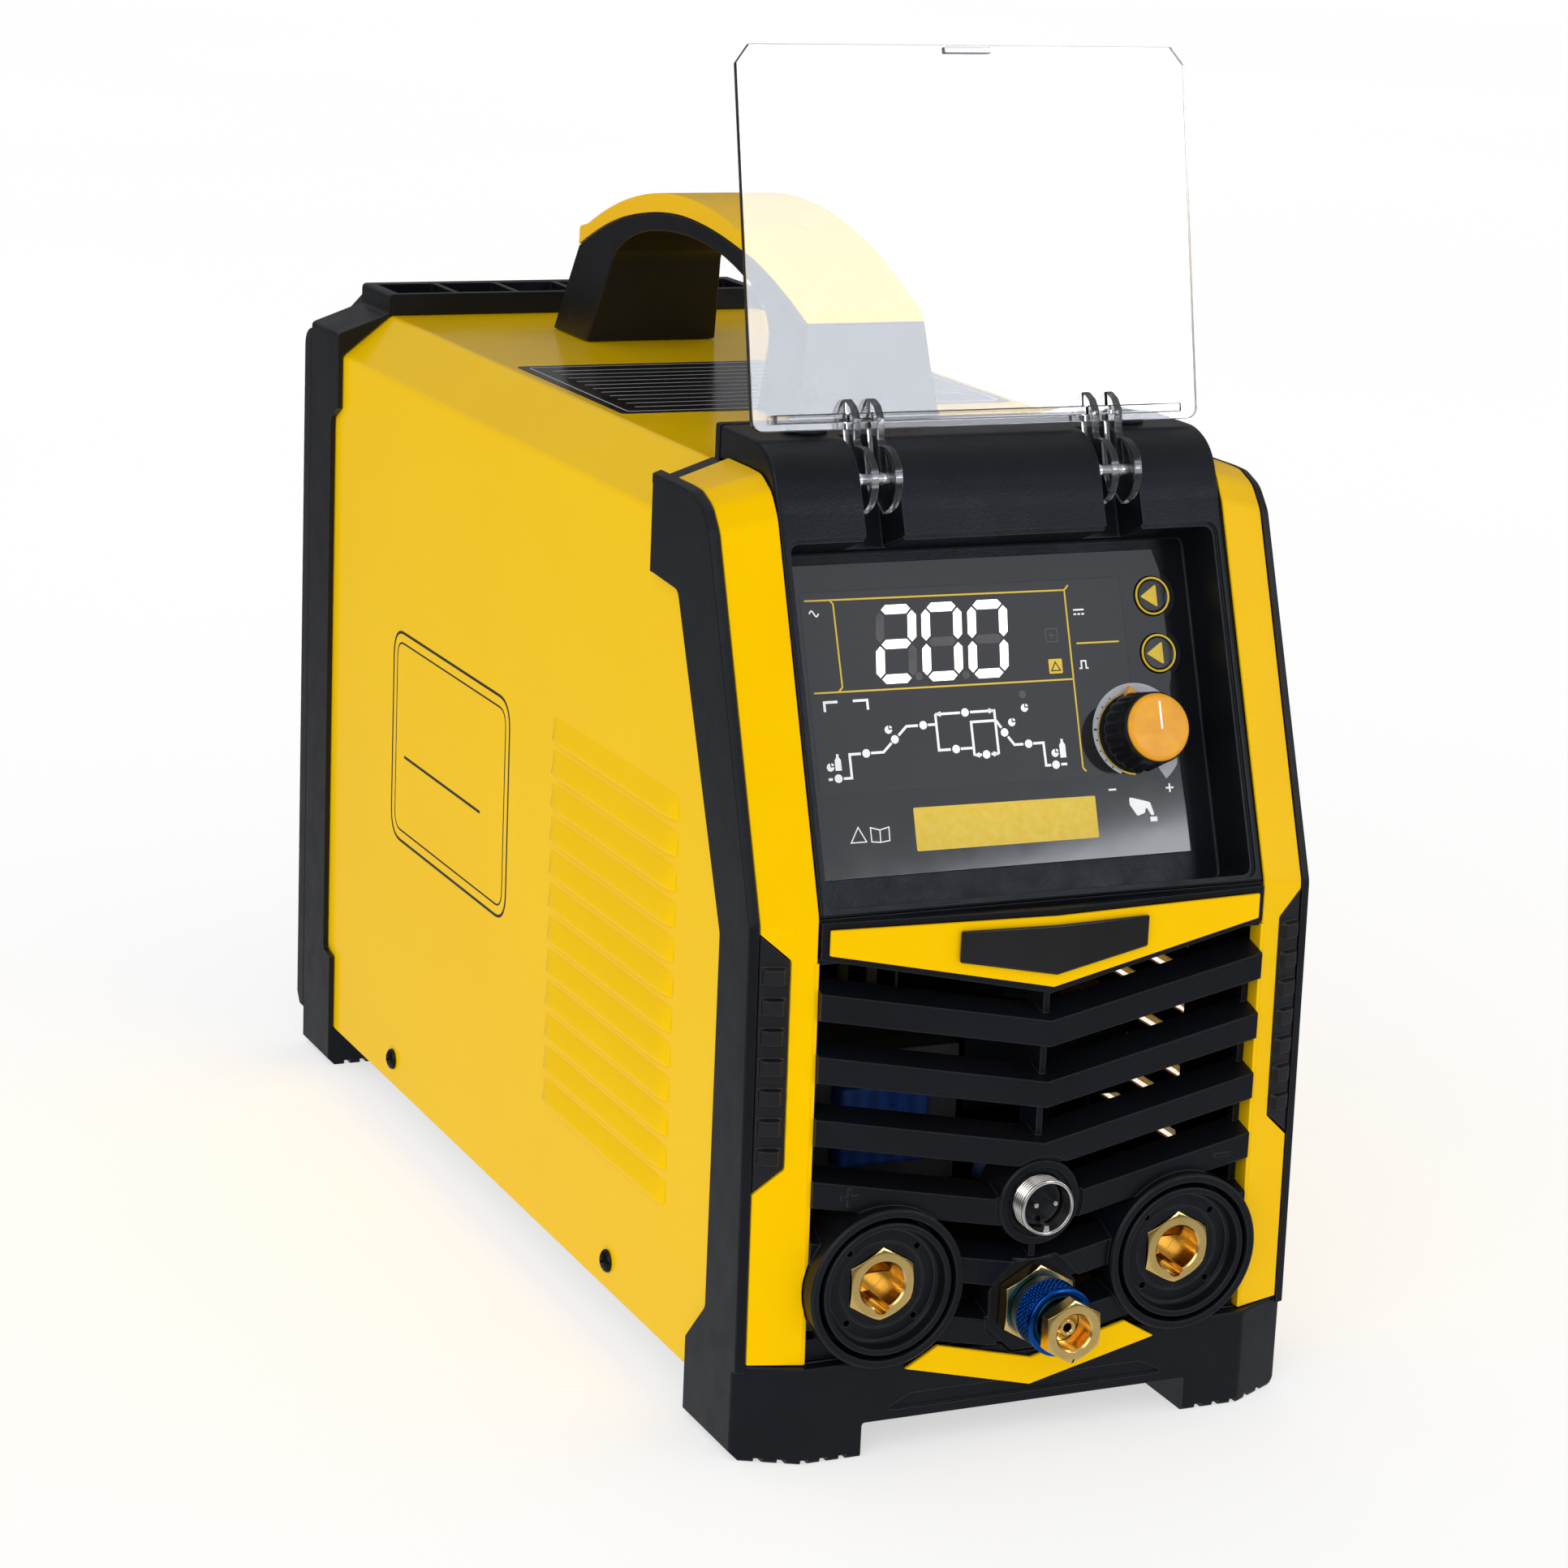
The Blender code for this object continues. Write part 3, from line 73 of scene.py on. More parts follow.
# Display housing
HOUSING_HALF, HOUSING_WALL, HOUSING_BACK = 66.2, 2.5, 81.4
SLOPE_FOOT, SLOPE_TOP = (4.4, 150.3), (43.4, 254.3)
RECESS_HALF, RECESS_LOW, RECESS_HIGH, RECESS_DEPTH, RECESS_FLOOR = 63.2, 2.4, 98.3, 18.0, 2.5
SLOT_X, SLOT_HALF, SLOT_DEPTH = 35.8, 5.65, 14.0
OVERLAY_FRONT = 16.9
INK = 0.09

# Controls
BUTTON_X, BUTTON_HEIGHTS, BUTTON_RADIUS = 51.0, {"upper": 81.9, "lower": 66.0}, 5.3
KNOB_X, KNOB_HEIGHT, KNOB_RADIUS, KNOB_FRONT = 41.0, 44.4, 11.0, 3.0

# Clear cover
HINGE_Y, HINGE_Z, PIN_RADIUS = 48.6, 256.8, 1.5
COVER_HALF, COVER_THICK, COVER_LENGTH = 67.0, 2.0, 101.5
COVER_FOOT, COVER_LEAN = (59.0, 268.4), radians(12.0)
EAR_RADIUS, EAR_THICK, EAR_OFFSET = 8.8, 2.3, 3.5

# Grille and connections
SLAT_TOPS = (130.9, 113.8, 96.5, 79.3, 62.1, 44.9)
SLAT_DROP, SLAT_FACE = 12.0, 7.4
GRILLE_SIDE_Y, GRILLE_NOSE_Y = 2.0, -2.3
SOCKET_X, SOCKET_Z, SOCKET_FLOOR = 44.8, 48.4, -1.2
RING_RADIUS, RING_BORE, RING_FRONT = 22.5, 20.0, 3.0
PLUG_Z, COUPLER_Z = 67.5, 39.0

# Sheet cover and rear
SHEET_HALF, SHEET, SHEET_SHOULDER, SHEET_TOP, SHEET_FLAT, SHEET_BOTTOM = 82.0, 1.0, 243.2, 256.3, 65.5, 13.5
LOUVRE_COUNT, LOUVRE_PITCH, LOUVRE_TOP, LOUVRE_FRONT, LOUVRE_BACK = 12, 9.95, 168.8, 63.0, 157.0
SCREW_Y, SCREW_Z = (103.0, 293.0), 22.0
REAR_FRONT, REAR_FACE, REAR_BACK, REAR_TOP, PANEL_FACE = 355.0, 383.0, 391.0, 263.5, 381.0
FAN_Z, FAN_RADIUS = 165.0, 57.0

# Handle
HANDLE_HALF, HANDLE_MIDDLE, HANDLE_CROWN, HANDLE_FALL = 18.5, 224.2, 310.3, 0.00287


def axes(x_axis, y_axis, z_axis, origin):
    """A local frame in world metres, from directions and an origin in the machine's coordinates."""
    matrix = Matrix((x_axis, y_axis, z_axis)).transposed().to_4x4()
    matrix.translation = Vector((origin[0], origin[1] - FRONT_TO_ORIGIN, origin[2])) * MM
    return matrix


RUN = Vector((0.0, SLOPE_TOP[0] - SLOPE_FOOT[0], SLOPE_TOP[1] - SLOPE_FOOT[1])).normalized()
SIDES = ((-1, "left"), (1, "right"))
TOP = axes((1, 0, 0), (0, 1, 0), (0, 0, 1), (0, 0, 0))
FRONT = axes((1, 0, 0), (0, 0, 1), (0, -1, 0), (0, 0, 0))
SIDE = axes((0, 1, 0), (0, 0, 1), (1, 0, 0), (0, 0, 0))
REAR = axes((-1, 0, 0), (0, 0, 1), (0, 1, 0), (0, PANEL_FACE, 0))
SLOPE = axes((1, 0, 0), RUN, (0, -RUN.z, RUN.y), (0, *SLOPE_FOOT))
COVER = axes(
    (1, 0, 0), (0, sin(COVER_LEAN), cos(COVER_LEAN)), (
        0, -cos(COVER_LEAN), sin(COVER_LEAN)
    ), (0, *COVER_FOOT)
)


# ------------------------------------------------------------------- outlines


def circle(centre, radius, sides=64, turn=0.0):
    steps = [turn + 2 * pi * i / sides for i in range(sides)]
    return [(centre[0] + radius * cos(a), centre[1] + radius * sin(a)) for a in steps]


def rectangle(low, high):
    """The corners of a rectangle, in turn from its low corner."""
    return [(low[0], low[1]), (high[0], low[1]), (high[0], high[1]), (low[0], high[1])]


def arc(centre, radius, start, end, steps):
    angles = [radians(start + (end - start) * i / steps) for i in range(steps + 1)]
    return [(centre[0] + radius * cos(a), centre[1] + radius * sin(a)) for a in angles]


def turned_spots(spots, turn, centre):
    """These points turned about the origin and then moved to the centre."""
    return [
        (u * cos(turn) - v * sin(turn) + centre[0], u * sin(turn) + v * cos(turn) + centre[1]) for u,
        v in spots
    ]


def fillet(points, radius, steps=4, closed=True, only=None):
    """An outline with its corners rounded. only lists the corners to round."""
    made, count = [], len(points)
    for i, point in enumerate(points):
        ends = not closed and i in (0, count - 1)
        if ends or (only is not None and i not in only):
            made.append(tuple(point))
            continue
        here = Vector(point[:2])
        back, ahead = Vector(points[i - 1][:2]) - here, Vector(points[(i + 1) % count][:2]) - here
        angle = back.angle(ahead)
        reach = min(radius / max(tan(angle / 2), 1e-3), back.length * 0.48, ahead.length * 0.48)
        if pi - angle < radians(3):
            made.append(tuple(point))
            continue
        start, end = here + back.normalized() * reach, here + ahead.normalized() * reach
        for k in range(steps + 1):
            t = k / steps
            spot = start * (1 - t) ** 2 + here * 2 * t * (1 - t) + end * t**2
            made.append((spot.x, spot.y))
    return made


def spline(points, steps=4, closed=False):
    """Points on a smooth curve through these points."""
    made, count = [], len(points)
    for i in range(count if closed else count - 1):
        a, b, c, d = (
            Vector(
                points[j % count] if closed else points[min(max(j, 0), count - 1)]
            ) for j in (i - 1, i, i + 1, i + 2)
        )
        for k in range(steps):
            t = k / steps
            made.append(
                tuple(
                    0.5 * (
                        2 * b + (c - a) * t + (
                            2 * a - 5 * b + 4 * c - d
                        ) * t**2 + (3 * b - a - 3 * c + d) * t**3
                    )
                )
            )
    if not closed:
        made.append(tuple(points[-1]))
    return made


def mirrored(half):
    """A closed outline from its right half, listed from the bottom to the top."""
    return list(half) + [(-x, z) for x, z in reversed(half) if x > 0]


def offset(profile, distance):
    """An open profile moved sideways, to the left of its direction when distance is positive."""
    moved = []
    for i, (y, z) in enumerate(profile):
        before, after = profile[max(i - 1, 0)], profile[min(i + 1, len(profile) - 1)]
        run, rise = after[0] - before[0], after[1] - before[1]
        length = hypot(run, rise)
        moved.append((y - rise / length * distance, z + run / length * distance))
    return moved


def on_slope(height, depth):
    return (
        SLOPE_FOOT[0] + height * RUN.y + depth * RUN.z,
        SLOPE_FOOT[1] + height * RUN.z - depth * RUN.y,
    )


# ------------------------------------------------------------- mesh building


def placed(name, data):
    """A new object of this data in the scene."""
    obj = bpy.data.objects.new(name, data)
    bpy.context.scene.collection.objects.link(obj)
    return obj


def drop(obj):
    mesh = obj.data
    bpy.data.objects.remove(obj, do_unlink=True)
    if mesh and mesh.users == 0:
        bpy.data.meshes.remove(mesh)


def new_piece(work, place=TOP):
    """An object of a bmesh given in millimetres in a local frame."""
    bmesh.ops.scale(work, vec=(MM, MM, MM), verts=work.verts)
    bmesh.ops.transform(work, matrix=place, verts=work.verts)
    bmesh.ops.recalc_face_normals(work, faces=work.faces)
    mesh = bpy.data.meshes.new("piece")
    work.to_mesh(mesh)
    work.free()
    return placed("piece", mesh)


def round_edges(work, width, segments=2, angle=25.0, where=None):
    """Rounds a bmesh's edges that turn by more than the angle."""
    edges = [e for e in work.edges if len(e.link_faces) == 2 and e.calc_face_angle(0.0) > radians(angle)]
    if where:
        edges = [e for e in edges if where(*(v.co for v in e.verts))]
    if edges:
        settings = {"offset_type": "OFFSET", "profile": 0.5, "affect": "EDGES", "clamp_overlap": True}
        bmesh.ops.bevel(work, geom=edges, offset=width, segments=segments, **settings)


def prism(outline, low, high, place=TOP, edge=0.0, segments=2, where=None):
    """A plate of this outline in the frame's first two axes, from low to high along the third."""
    work = bmesh.new()
    rings = [[work.verts.new((u, v, level)) for u, v in outline] for level in (low, high)]
    work.faces.new(rings[0][::-1])
    work.faces.new(rings[1])
    for i in range(len(outline)):
        j = (i + 1) % len(outline)
        work.faces.new((rings[0][i], rings[0][j], rings[1][j], rings[1][i]))
    if edge:
        bmesh.ops.recalc_face_normals(work, faces=work.faces)
        round_edges(work, edge, segments, where=where)
    return new_piece(work, place)


def box(low, high, place=TOP, edge=0.0, segments=2):
    return prism(rectangle(low, high), low[2], high[2], place, edge, segments)


def disc(centre, radius, low, high, place=FRONT, sides=64, turn=0.0, edge=0.0):
    return prism(circle(centre, radius, sides, turn), low, high, place, edge)


def loft(sections, place=TOP, edge=0.0, segments=2, angle=25.0):
    """A solid through closed sections of equal point counts, given as x, y, z."""
    work = bmesh.new()
    rings = [[work.verts.new(point) for point in section] for section in sections]
    count = len(rings[0])
    for one, two in zip(rings, rings[1:]):
        for i in range(count):
            j = (i + 1) % count
            work.faces.new((one[i], one[j], two[j], two[i]))
    work.faces.new(rings[0])
    work.faces.new(rings[-1])
    if edge:
        bmesh.ops.recalc_face_normals(work, faces=work.faces)
        round_edges(work, edge, segments, angle)
    return new_piece(work, place)


def lathe(profile, centre=(0.0, 0.0), place=FRONT, steps=96, closed=False, shape=None):
    """A turned piece from (radius, height) pairs. shape may change a radius by height and angle."""
    work = bmesh.new()
    rings = []
    for radius, height in profile:
        if radius <= 1e-6:
            rings.append([work.verts.new((centre[0], centre[1], height))])
            continue
        ring = []
        for i in range(steps):
            a = 2 * pi * i / steps
            r = shape(radius, height, a) if shape else radius
            ring.append(work.verts.new((centre[0] + r * cos(a), centre[1] + r * sin(a), height)))
        rings.append(ring)
    pairs = list(zip(rings, rings[1:])) + ([(rings[-1], rings[0])] if closed else [])
    for one, two in pairs:
        for i in range(steps):
            j = (i + 1) % steps
            corners = [one[i % len(one)], one[j % len(one)], two[j % len(two)], two[i % len(two)]]
            unique = [v for k, v in enumerate(corners) if v not in corners[:k]]
            if len(unique) > 2:
                work.faces.new(unique)
    return new_piece(work, place)


def tube(points, radius, closed=False, sides=6, smooth=6):
    """A round tube on a smooth curve through points in the machine's coordinates."""
    curve = bpy.data.curves.new("tube", "CURVE")
    curve.dimensions = "3D"
    curve.bevel_depth = radius * MM
    curve.bevel_resolution = sides
    curve.use_fill_caps = not closed
    path = spline(points, smooth, closed) if smooth > 1 else points
    line = curve.splines.new("POLY")
    line.points.add(len(path) - 1)
    for point, (x, y, z) in zip(line.points, path):
        point.co = (x * MM, (y - FRONT_TO_ORIGIN) * MM, z * MM, 1.0)
    line.use_cyclic_u = closed
    obj = placed("tube", curve)
    bpy.context.view_layer.update()
    mesh = bpy.data.meshes.new_from_object(obj.evaluated_get(bpy.context.evaluated_depsgraph_get()))
    bpy.data.objects.remove(obj, do_unlink=True)
    bpy.data.curves.remove(curve)
    return tidy(placed("piece", mesh))


def tidy(obj, flat=0.15):
    """Welds a mesh, merges its flat faces and turns them outwards."""
    work = bmesh.new()
    work.from_mesh(obj.data)
    bmesh.ops.remove_doubles(work, verts=work.verts, dist=3e-6)
    bmesh.ops.dissolve_degenerate(work, edges=work.edges, dist=3e-6)
    if flat:
        bmesh.ops.dissolve_limit(work, angle_limit=radians(flat), verts=work.verts, edges=work.edges)
    bmesh.ops.recalc_face_normals(work, faces=work.faces)
    work.to_mesh(obj.data)
    work.free()
    return obj


def applied(obj, flat=0.15):
    """The object with its modifiers made part of its mesh."""
    bpy.context.view_layer.update()
    mesh = bpy.data.meshes.new_from_object(obj.evaluated_get(bpy.context.evaluated_depsgraph_get()))
    obj.modifiers.clear()
    old, obj.data = obj.data, mesh
    bpy.data.meshes.remove(old)
    return tidy(obj, flat)


def combine(target, tools, operation):
    for tool in tools:
        modifier = target.modifiers.new("boolean", "BOOLEAN")
        modifier.object = tool
        modifier.operation = operation
    applied(target)
    for tool in tools:
        drop(tool)
    return target


def cut(target, *tools):
    return combine(target, tools, "DIFFERENCE")


def join(target, *tools):
    return combine(target, tools, "UNION")


def merge(pieces):
    """One object of several that stay separate shells."""
    work = bmesh.new()
    for piece in pieces:
        work.from_mesh(piece.data)
    mesh = bpy.data.meshes.new("piece")
    work.to_mesh(mesh)
    work.free()
    for piece in pieces:
        drop(piece)
    return placed("piece", mesh)


def soften(obj, width=0.4, segments=2, angle=30.0, clamp=False):
    """Rounds a finished mesh's sharp edges."""
    modifier = obj.modifiers.new("round", "BEVEL")
    modifier.width = width * MM
    modifier.segments = segments
    modifier.limit_method = "ANGLE"
    modifier.angle_limit = radians(angle)
    modifier.use_clamp_overlap = clamp
    modifier.miter_outer = "MITER_ARC"
    modifier.harden_normals = False
    return obj


# ------------------------------------------------------------------ materials


def add_node(tree, kind, values=None, **settings):
    made = tree.nodes.new(kind)
    for key, value in settings.items():
        setattr(made, key, value)
    for key, value in (values or {}).items():
        made.inputs[key].default_value = value
    return made


class Finish:
    """A node material that is built up step by step on a Principled shader."""

    def __init__(self, name, edge=0.35, stretch=None):
        self.material = bpy.data.materials.new(name)
        self.material.use_nodes = True
        self.tree = self.material.node_tree
        self.shader = self.tree.nodes["Principled BSDF"]
        self.place = add_node(self.tree, "ShaderNodeTexCoord").outputs["Object"]
        self.normal = None
        self.soft = None
        if stretch:
            mapping = add_node(self.tree, "ShaderNodeMapping", {"Scale": stretch})
            self.tree.links.new(self.place, mapping.inputs["Vector"])
            self.place = mapping.outputs["Vector"]
        if edge:
            soft = add_node(self.tree, "ShaderNodeBevel", {"Radius": edge * MM}, samples=4)
            self.soft = self.normal = soft.outputs["Normal"]

    def link(self, source, target):
        self.tree.links.new(source, target)

    def noise(self, scale, detail=2.0, roughness=0.5, distortion=0.0):
        values = {"Scale": scale, "Detail": detail, "Roughness": roughness, "Distortion": distortion}
        made = add_node(self.tree, "ShaderNodeTexNoise", values)
        self.link(self.place, made.inputs["Vector"])
        return made.outputs["Fac"]

    def cells(self, scale):
        made = add_node(self.tree, "ShaderNodeTexVoronoi", {"Scale": scale})
        self.link(self.place, made.inputs["Vector"])
        return made.outputs["Distance"]

    def remap(self, value, low, high, to_low, to_high):
        values = {"From Min": low, "From Max": high, "To Min": to_low, "To Max": to_high}
        made = add_node(self.tree, "ShaderNodeMapRange", values)
        self.link(value, made.inputs["Value"])
        return made.outputs["Result"]

    def mix(self, factor, one, two):
        """A colour between two, each given as a colour or as a socket."""
        made = add_node(self.tree, "ShaderNodeMix", data_type="RGBA")
        self.link(factor, made.inputs["Factor"])
        for socket, color in zip((made.inputs[6], made.inputs[7]), (one, two)):
            if isinstance(color, tuple):
                socket.default_value = (*color, 1.0)
            else:
                self.link(color, socket)
        return made.outputs[2]

    def edges(self, sharp=0.97, soft=0.80):
        """1 along convex and concave edges, 0 on flats."""
        flat = add_node(self.tree, "ShaderNodeNewGeometry").outputs["True Normal"]
        dot = add_node(self.tree, "ShaderNodeVectorMath", operation="DOT_PRODUCT")
        self.link(self.soft, dot.inputs[0])
        self.link(flat, dot.inputs[1])
        return self.remap(dot.outputs["Value"], sharp, soft, 0.0, 1.0)

    def color(self, source):
        self.link(source, self.shader.inputs["Base Color"])

    def rough(self, source):
        self.link(source, self.shader.inputs["Roughness"])

    def relief(self, height, depth, strength=1.0):
        """Bumps of this height map, with depth in millimetres."""
        bump = add_node(self.tree, "ShaderNodeBump", {"Distance": depth * MM, "Strength": strength})
        self.link(height, bump.inputs["Height"])
        if self.normal:
            self.link(self.normal, bump.inputs["Normal"])
        self.normal = bump.outputs["Normal"]

    def done(self, **values):
        """Sets the shader's own values and returns the material."""
        for key, value in values.items():
            self.shader.inputs[key.replace("_", " ")].default_value = value
        if self.normal:
            self.link(self.normal, self.shader.inputs["Normal"])
        return self.material


def moulded(name, base, light, rough, grain=1500.0, depth=0.05, edge=0.4, painted_highlight_share=0.5, **values):
    """Moulded plastic: fine spark grain, soft sheen patches and edges lightened in colour as a painted
    highlight.
    """
    finish = Finish(name, edge)
    drift = finish.remap(finish.noise(32.0, 3.0, 0.6), 0.35, 0.65, 0.0, 1.0)
    color = finish.mix(drift, base, light)
    # Painted highlight: bevelled and creased edges take a lighter grey colour.
    painted_edge_highlight_color = tuple(channel + (0.16 - channel) * painted_highlight_share if channel < 0.16 else channel for channel in light)
    color = finish.mix(finish.remap(finish.edges(), 0.0, 1.0, 0.0, 0.85), color, painted_edge_highlight_color)
    finish.color(color)
    finish.rough(finish.remap(finish.noise(85.0, 4.0, 0.65), 0.3, 0.7, *rough))
    finish.relief(finish.noise(grain, 2.0, 0.55), depth)
    return finish.done(**values)


def surface(name, base, light, rough, edge, drift, sheen, relief, painted_edge_highlight=None, spread=(0.3, 0.7), **values):
    """A finish that drifts between two colours, with a roughness from a noise and fine bumps."""
    finish = Finish(name, edge, values.pop("stretch", None))
    color = finish.mix(finish.remap(finish.noise(*drift), *spread, 0.0, 1.0), base, light)
    # Painted highlight: where given, the edges take a lighter colour.
    if painted_edge_highlight:
        color = finish.mix(finish.edges(*painted_edge_highlight[:2]), color, painted_edge_highlight[2])
    finish.color(color)
    finish.rough(finish.remap(finish.noise(*sheen), 0.3, 0.7, *rough))
    if relief:
        scale, grain, depth = relief
        finish.relief(finish.noise(scale, 2.0, grain), depth)
    return finish.done(**values)


def black_plastic():
    name, base, light = "black plastic", (0.0042, 0.0050, 0.0078), (0.0062, 0.0072, 0.0108)
    cool = (0.86, 0.93, 1.0, 1.0)
    return moulded(name, base, light, (0.28, 0.40), Specular_IOR_Level=0.27, Specular_Tint=cool)


def glossy_black():
    name, base, light = "gloss black plastic", (0.006, 0.006, 0.007), (0.010, 0.010, 0.012)
    return moulded(name, base, light, (0.12, 0.22), 900.0, 0.01, 0.3, 0.2)


def rubber():
    name, base, light = "rubber", (0.0052, 0.0058, 0.0080), (0.0075, 0.0082, 0.0110)
    return moulded(name, base, light, (0.34, 0.46), 2200.0, 0.05, 0.45, 0.45, Specular_IOR_Level=0.42)


def ferrite():
    name, base, light = "ferrite", (0.045, 0.046, 0.050), (0.075, 0.076, 0.082)
    return moulded(name, base, light, (0.50, 0.68), 1300.0, 0.10, 0.5, 0.3)


def yellow_plastic():
    """Satin moulded plastic, whose reflections stay yellow."""
    name, base, light = "yellow plastic", (0.97, 0.560, 0.0002), (0.99, 0.590, 0.0003)
    noises = (26.0, 3.0, 0.6), (140.0, 4.0, 0.6), (1700.0, 0.5, 0.012)
    # The edges are painted a lighter yellow, a painted highlight.
    painted_edge_highlight, tint = (0.96, 0.75, (1.0, 0.66, 0.01)), (1.0, 0.72, 0.02, 1.0)
    gloss = {"Specular_IOR_Level": 0.30, "Specular_Tint": tint}
    return surface(name, base, light, (0.26, 0.36), 0.35, *noises, painted_edge_highlight, **gloss)


def yellow_paint():
    """Glossy powder coat with a fine orange peel."""
    name, base, light = "yellow powder coat", (0.985, 0.600, 0.0002), (1.0, 0.625, 0.0003)
    noises = (11.0, 4.0, 0.6), (70.0, 4.0, 0.6), (420.0, 0.5, 0.004)
    # The edges are painted a lighter yellow, a painted highlight.
    painted_edge_highlight, tint = (0.96, 0.7, (1.0, 0.70, 0.04)), (1.0, 0.72, 0.02, 1.0)
    gloss = {"Specular_IOR_Level": 0.22, "Specular_Tint": tint}
    return surface(name, base, light, (0.15, 0.21), 0.6, *noises, painted_edge_highlight, **gloss)


def amber_plastic():
    name, base, light = "amber plastic", (0.82, 0.345, 0.002), (0.93, 0.415, 0.004)
    noises = (190.0, 3.0, 0.55), (300.0, 3.0, 0.6), (1500.0, 0.5, 0.02)
    depth = (0.003, 0.0015, 0.0004)
    return surface(
        name, base, light, (0.30, 0.42), 0.3, *noises, Subsurface_Weight=0.05, Subsurface_Radius=depth
    )


def machined(name, base, light, rough, stretch=None):
    """Bare or plated metal with fine tool marks."""
    noises = (150.0, 4.0, 0.6), (320.0, 4.0, 0.65), (1900.0, 0.5, 0.012)
    return surface(name, base, light, rough, 0.25, *noises, stretch=stretch, Metallic=1.0)


def overlay_film(name, base, light):
    """Smooth glossy film."""
    noises = (18.0, 2.0, 0.5), (60.0, 3.0, 0.6), (160.0, 0.5, 0.0015)
    return surface(name, base, light, (0.045, 0.07), 0.15, *noises, spread=(0.35, 0.65))


def clear_plastic(name, tint, rough):
    dark = tuple(0.98 * channel for channel in tint)
    noises = (40.0, 3.0, 0.6), (90.0, 3.0, 0.6), (45.0, 0.4, 0.01)
    return surface(name, dark, tint, rough, 0.0, *noises, IOR=1.49, Transmission_Weight=1.0)


def ink(name, base, glow=0.0):
    """Opaque print, or the light of a lit segment. A faint glow on print is painted light."""
    values = {"Emission_Color": (*base, 1.0), "Emission_Strength": glow} if glow else {}
    dark = tuple(0.94 * channel for channel in base)
    return surface(name, dark, base, (0.28, 0.40), 0.0, (900.0, 2.0, 0.5), (500.0, 2.0, 0.5), None, **values)


def copper():
    """Close windings of lacquered wire."""
    finish = Finish("lacquered copper", 0.3)
    drift = finish.remap(finish.noise(120.0, 3.0, 0.6), 0.3, 0.7, 0.0, 1.0)
    finish.color(finish.mix(drift, (0.50, 0.16, 0.055), (0.74, 0.29, 0.11)))
    finish.rough(finish.remap(finish.noise(200.0, 3.0, 0.6), 0.3, 0.7, 0.24, 0.38))
    wave = add_node(finish.tree, "ShaderNodeTexWave", {"Scale": 260.0, "Distortion": 0.6, "Detail": 1.0})
    finish.link(finish.place, wave.inputs["Vector"])
    finish.relief(wave.outputs["Fac"], 0.4)
    return finish.done(Metallic=0.85)


def circuit_board():
    """Green solder mask over a pattern of paler tracks and tinned pads."""
    finish = Finish("circuit board", 0.2)
    tracks = add_node(
        finish.tree, "ShaderNodeTexBrick", {"Scale": 90.0, "Mortar Size": 0.06, "Mortar Smooth": 0.1}
    )
    finish.link(finish.place, tracks.inputs["Vector"])
    color = finish.mix(
        finish.remap(finish.noise(45.0, 2.0), 0.4, 0.6, 0.0, 1.0), (0.012, 0.12, 0.040),
        (0.020, 0.17, 0.060)
    )
    color = finish.mix(tracks.outputs["Fac"], color, (0.05, 0.26, 0.11))
    finish.color(
        finish.mix(finish.remap(finish.cells(330.0), 0.16, 0.12, 0.0, 1.0), color, (0.55, 0.55, 0.52))
    )
    finish.rough(finish.remap(finish.noise(160.0, 3.0), 0.3, 0.7, 0.30, 0.46))
    finish.relief(tracks.outputs["Fac"], 0.04)
    return finish.done()


def blue_tape():
    finish = Finish("blue insulating tape", 0.4)
    wave = add_node(finish.tree, "ShaderNodeTexWave", {"Scale": 55.0, "Distortion": 1.2, "Detail": 2.0})
    finish.link(finish.place, wave.inputs["Vector"])
    finish.color(finish.mix(wave.outputs["Fac"], (0.006, 0.055, 0.30), (0.012, 0.09, 0.42)))
    finish.rough(finish.remap(finish.noise(140.0, 3.0), 0.3, 0.7, 0.26, 0.42))
    finish.relief(wave.outputs["Fac"], 0.12)
    return finish.done()


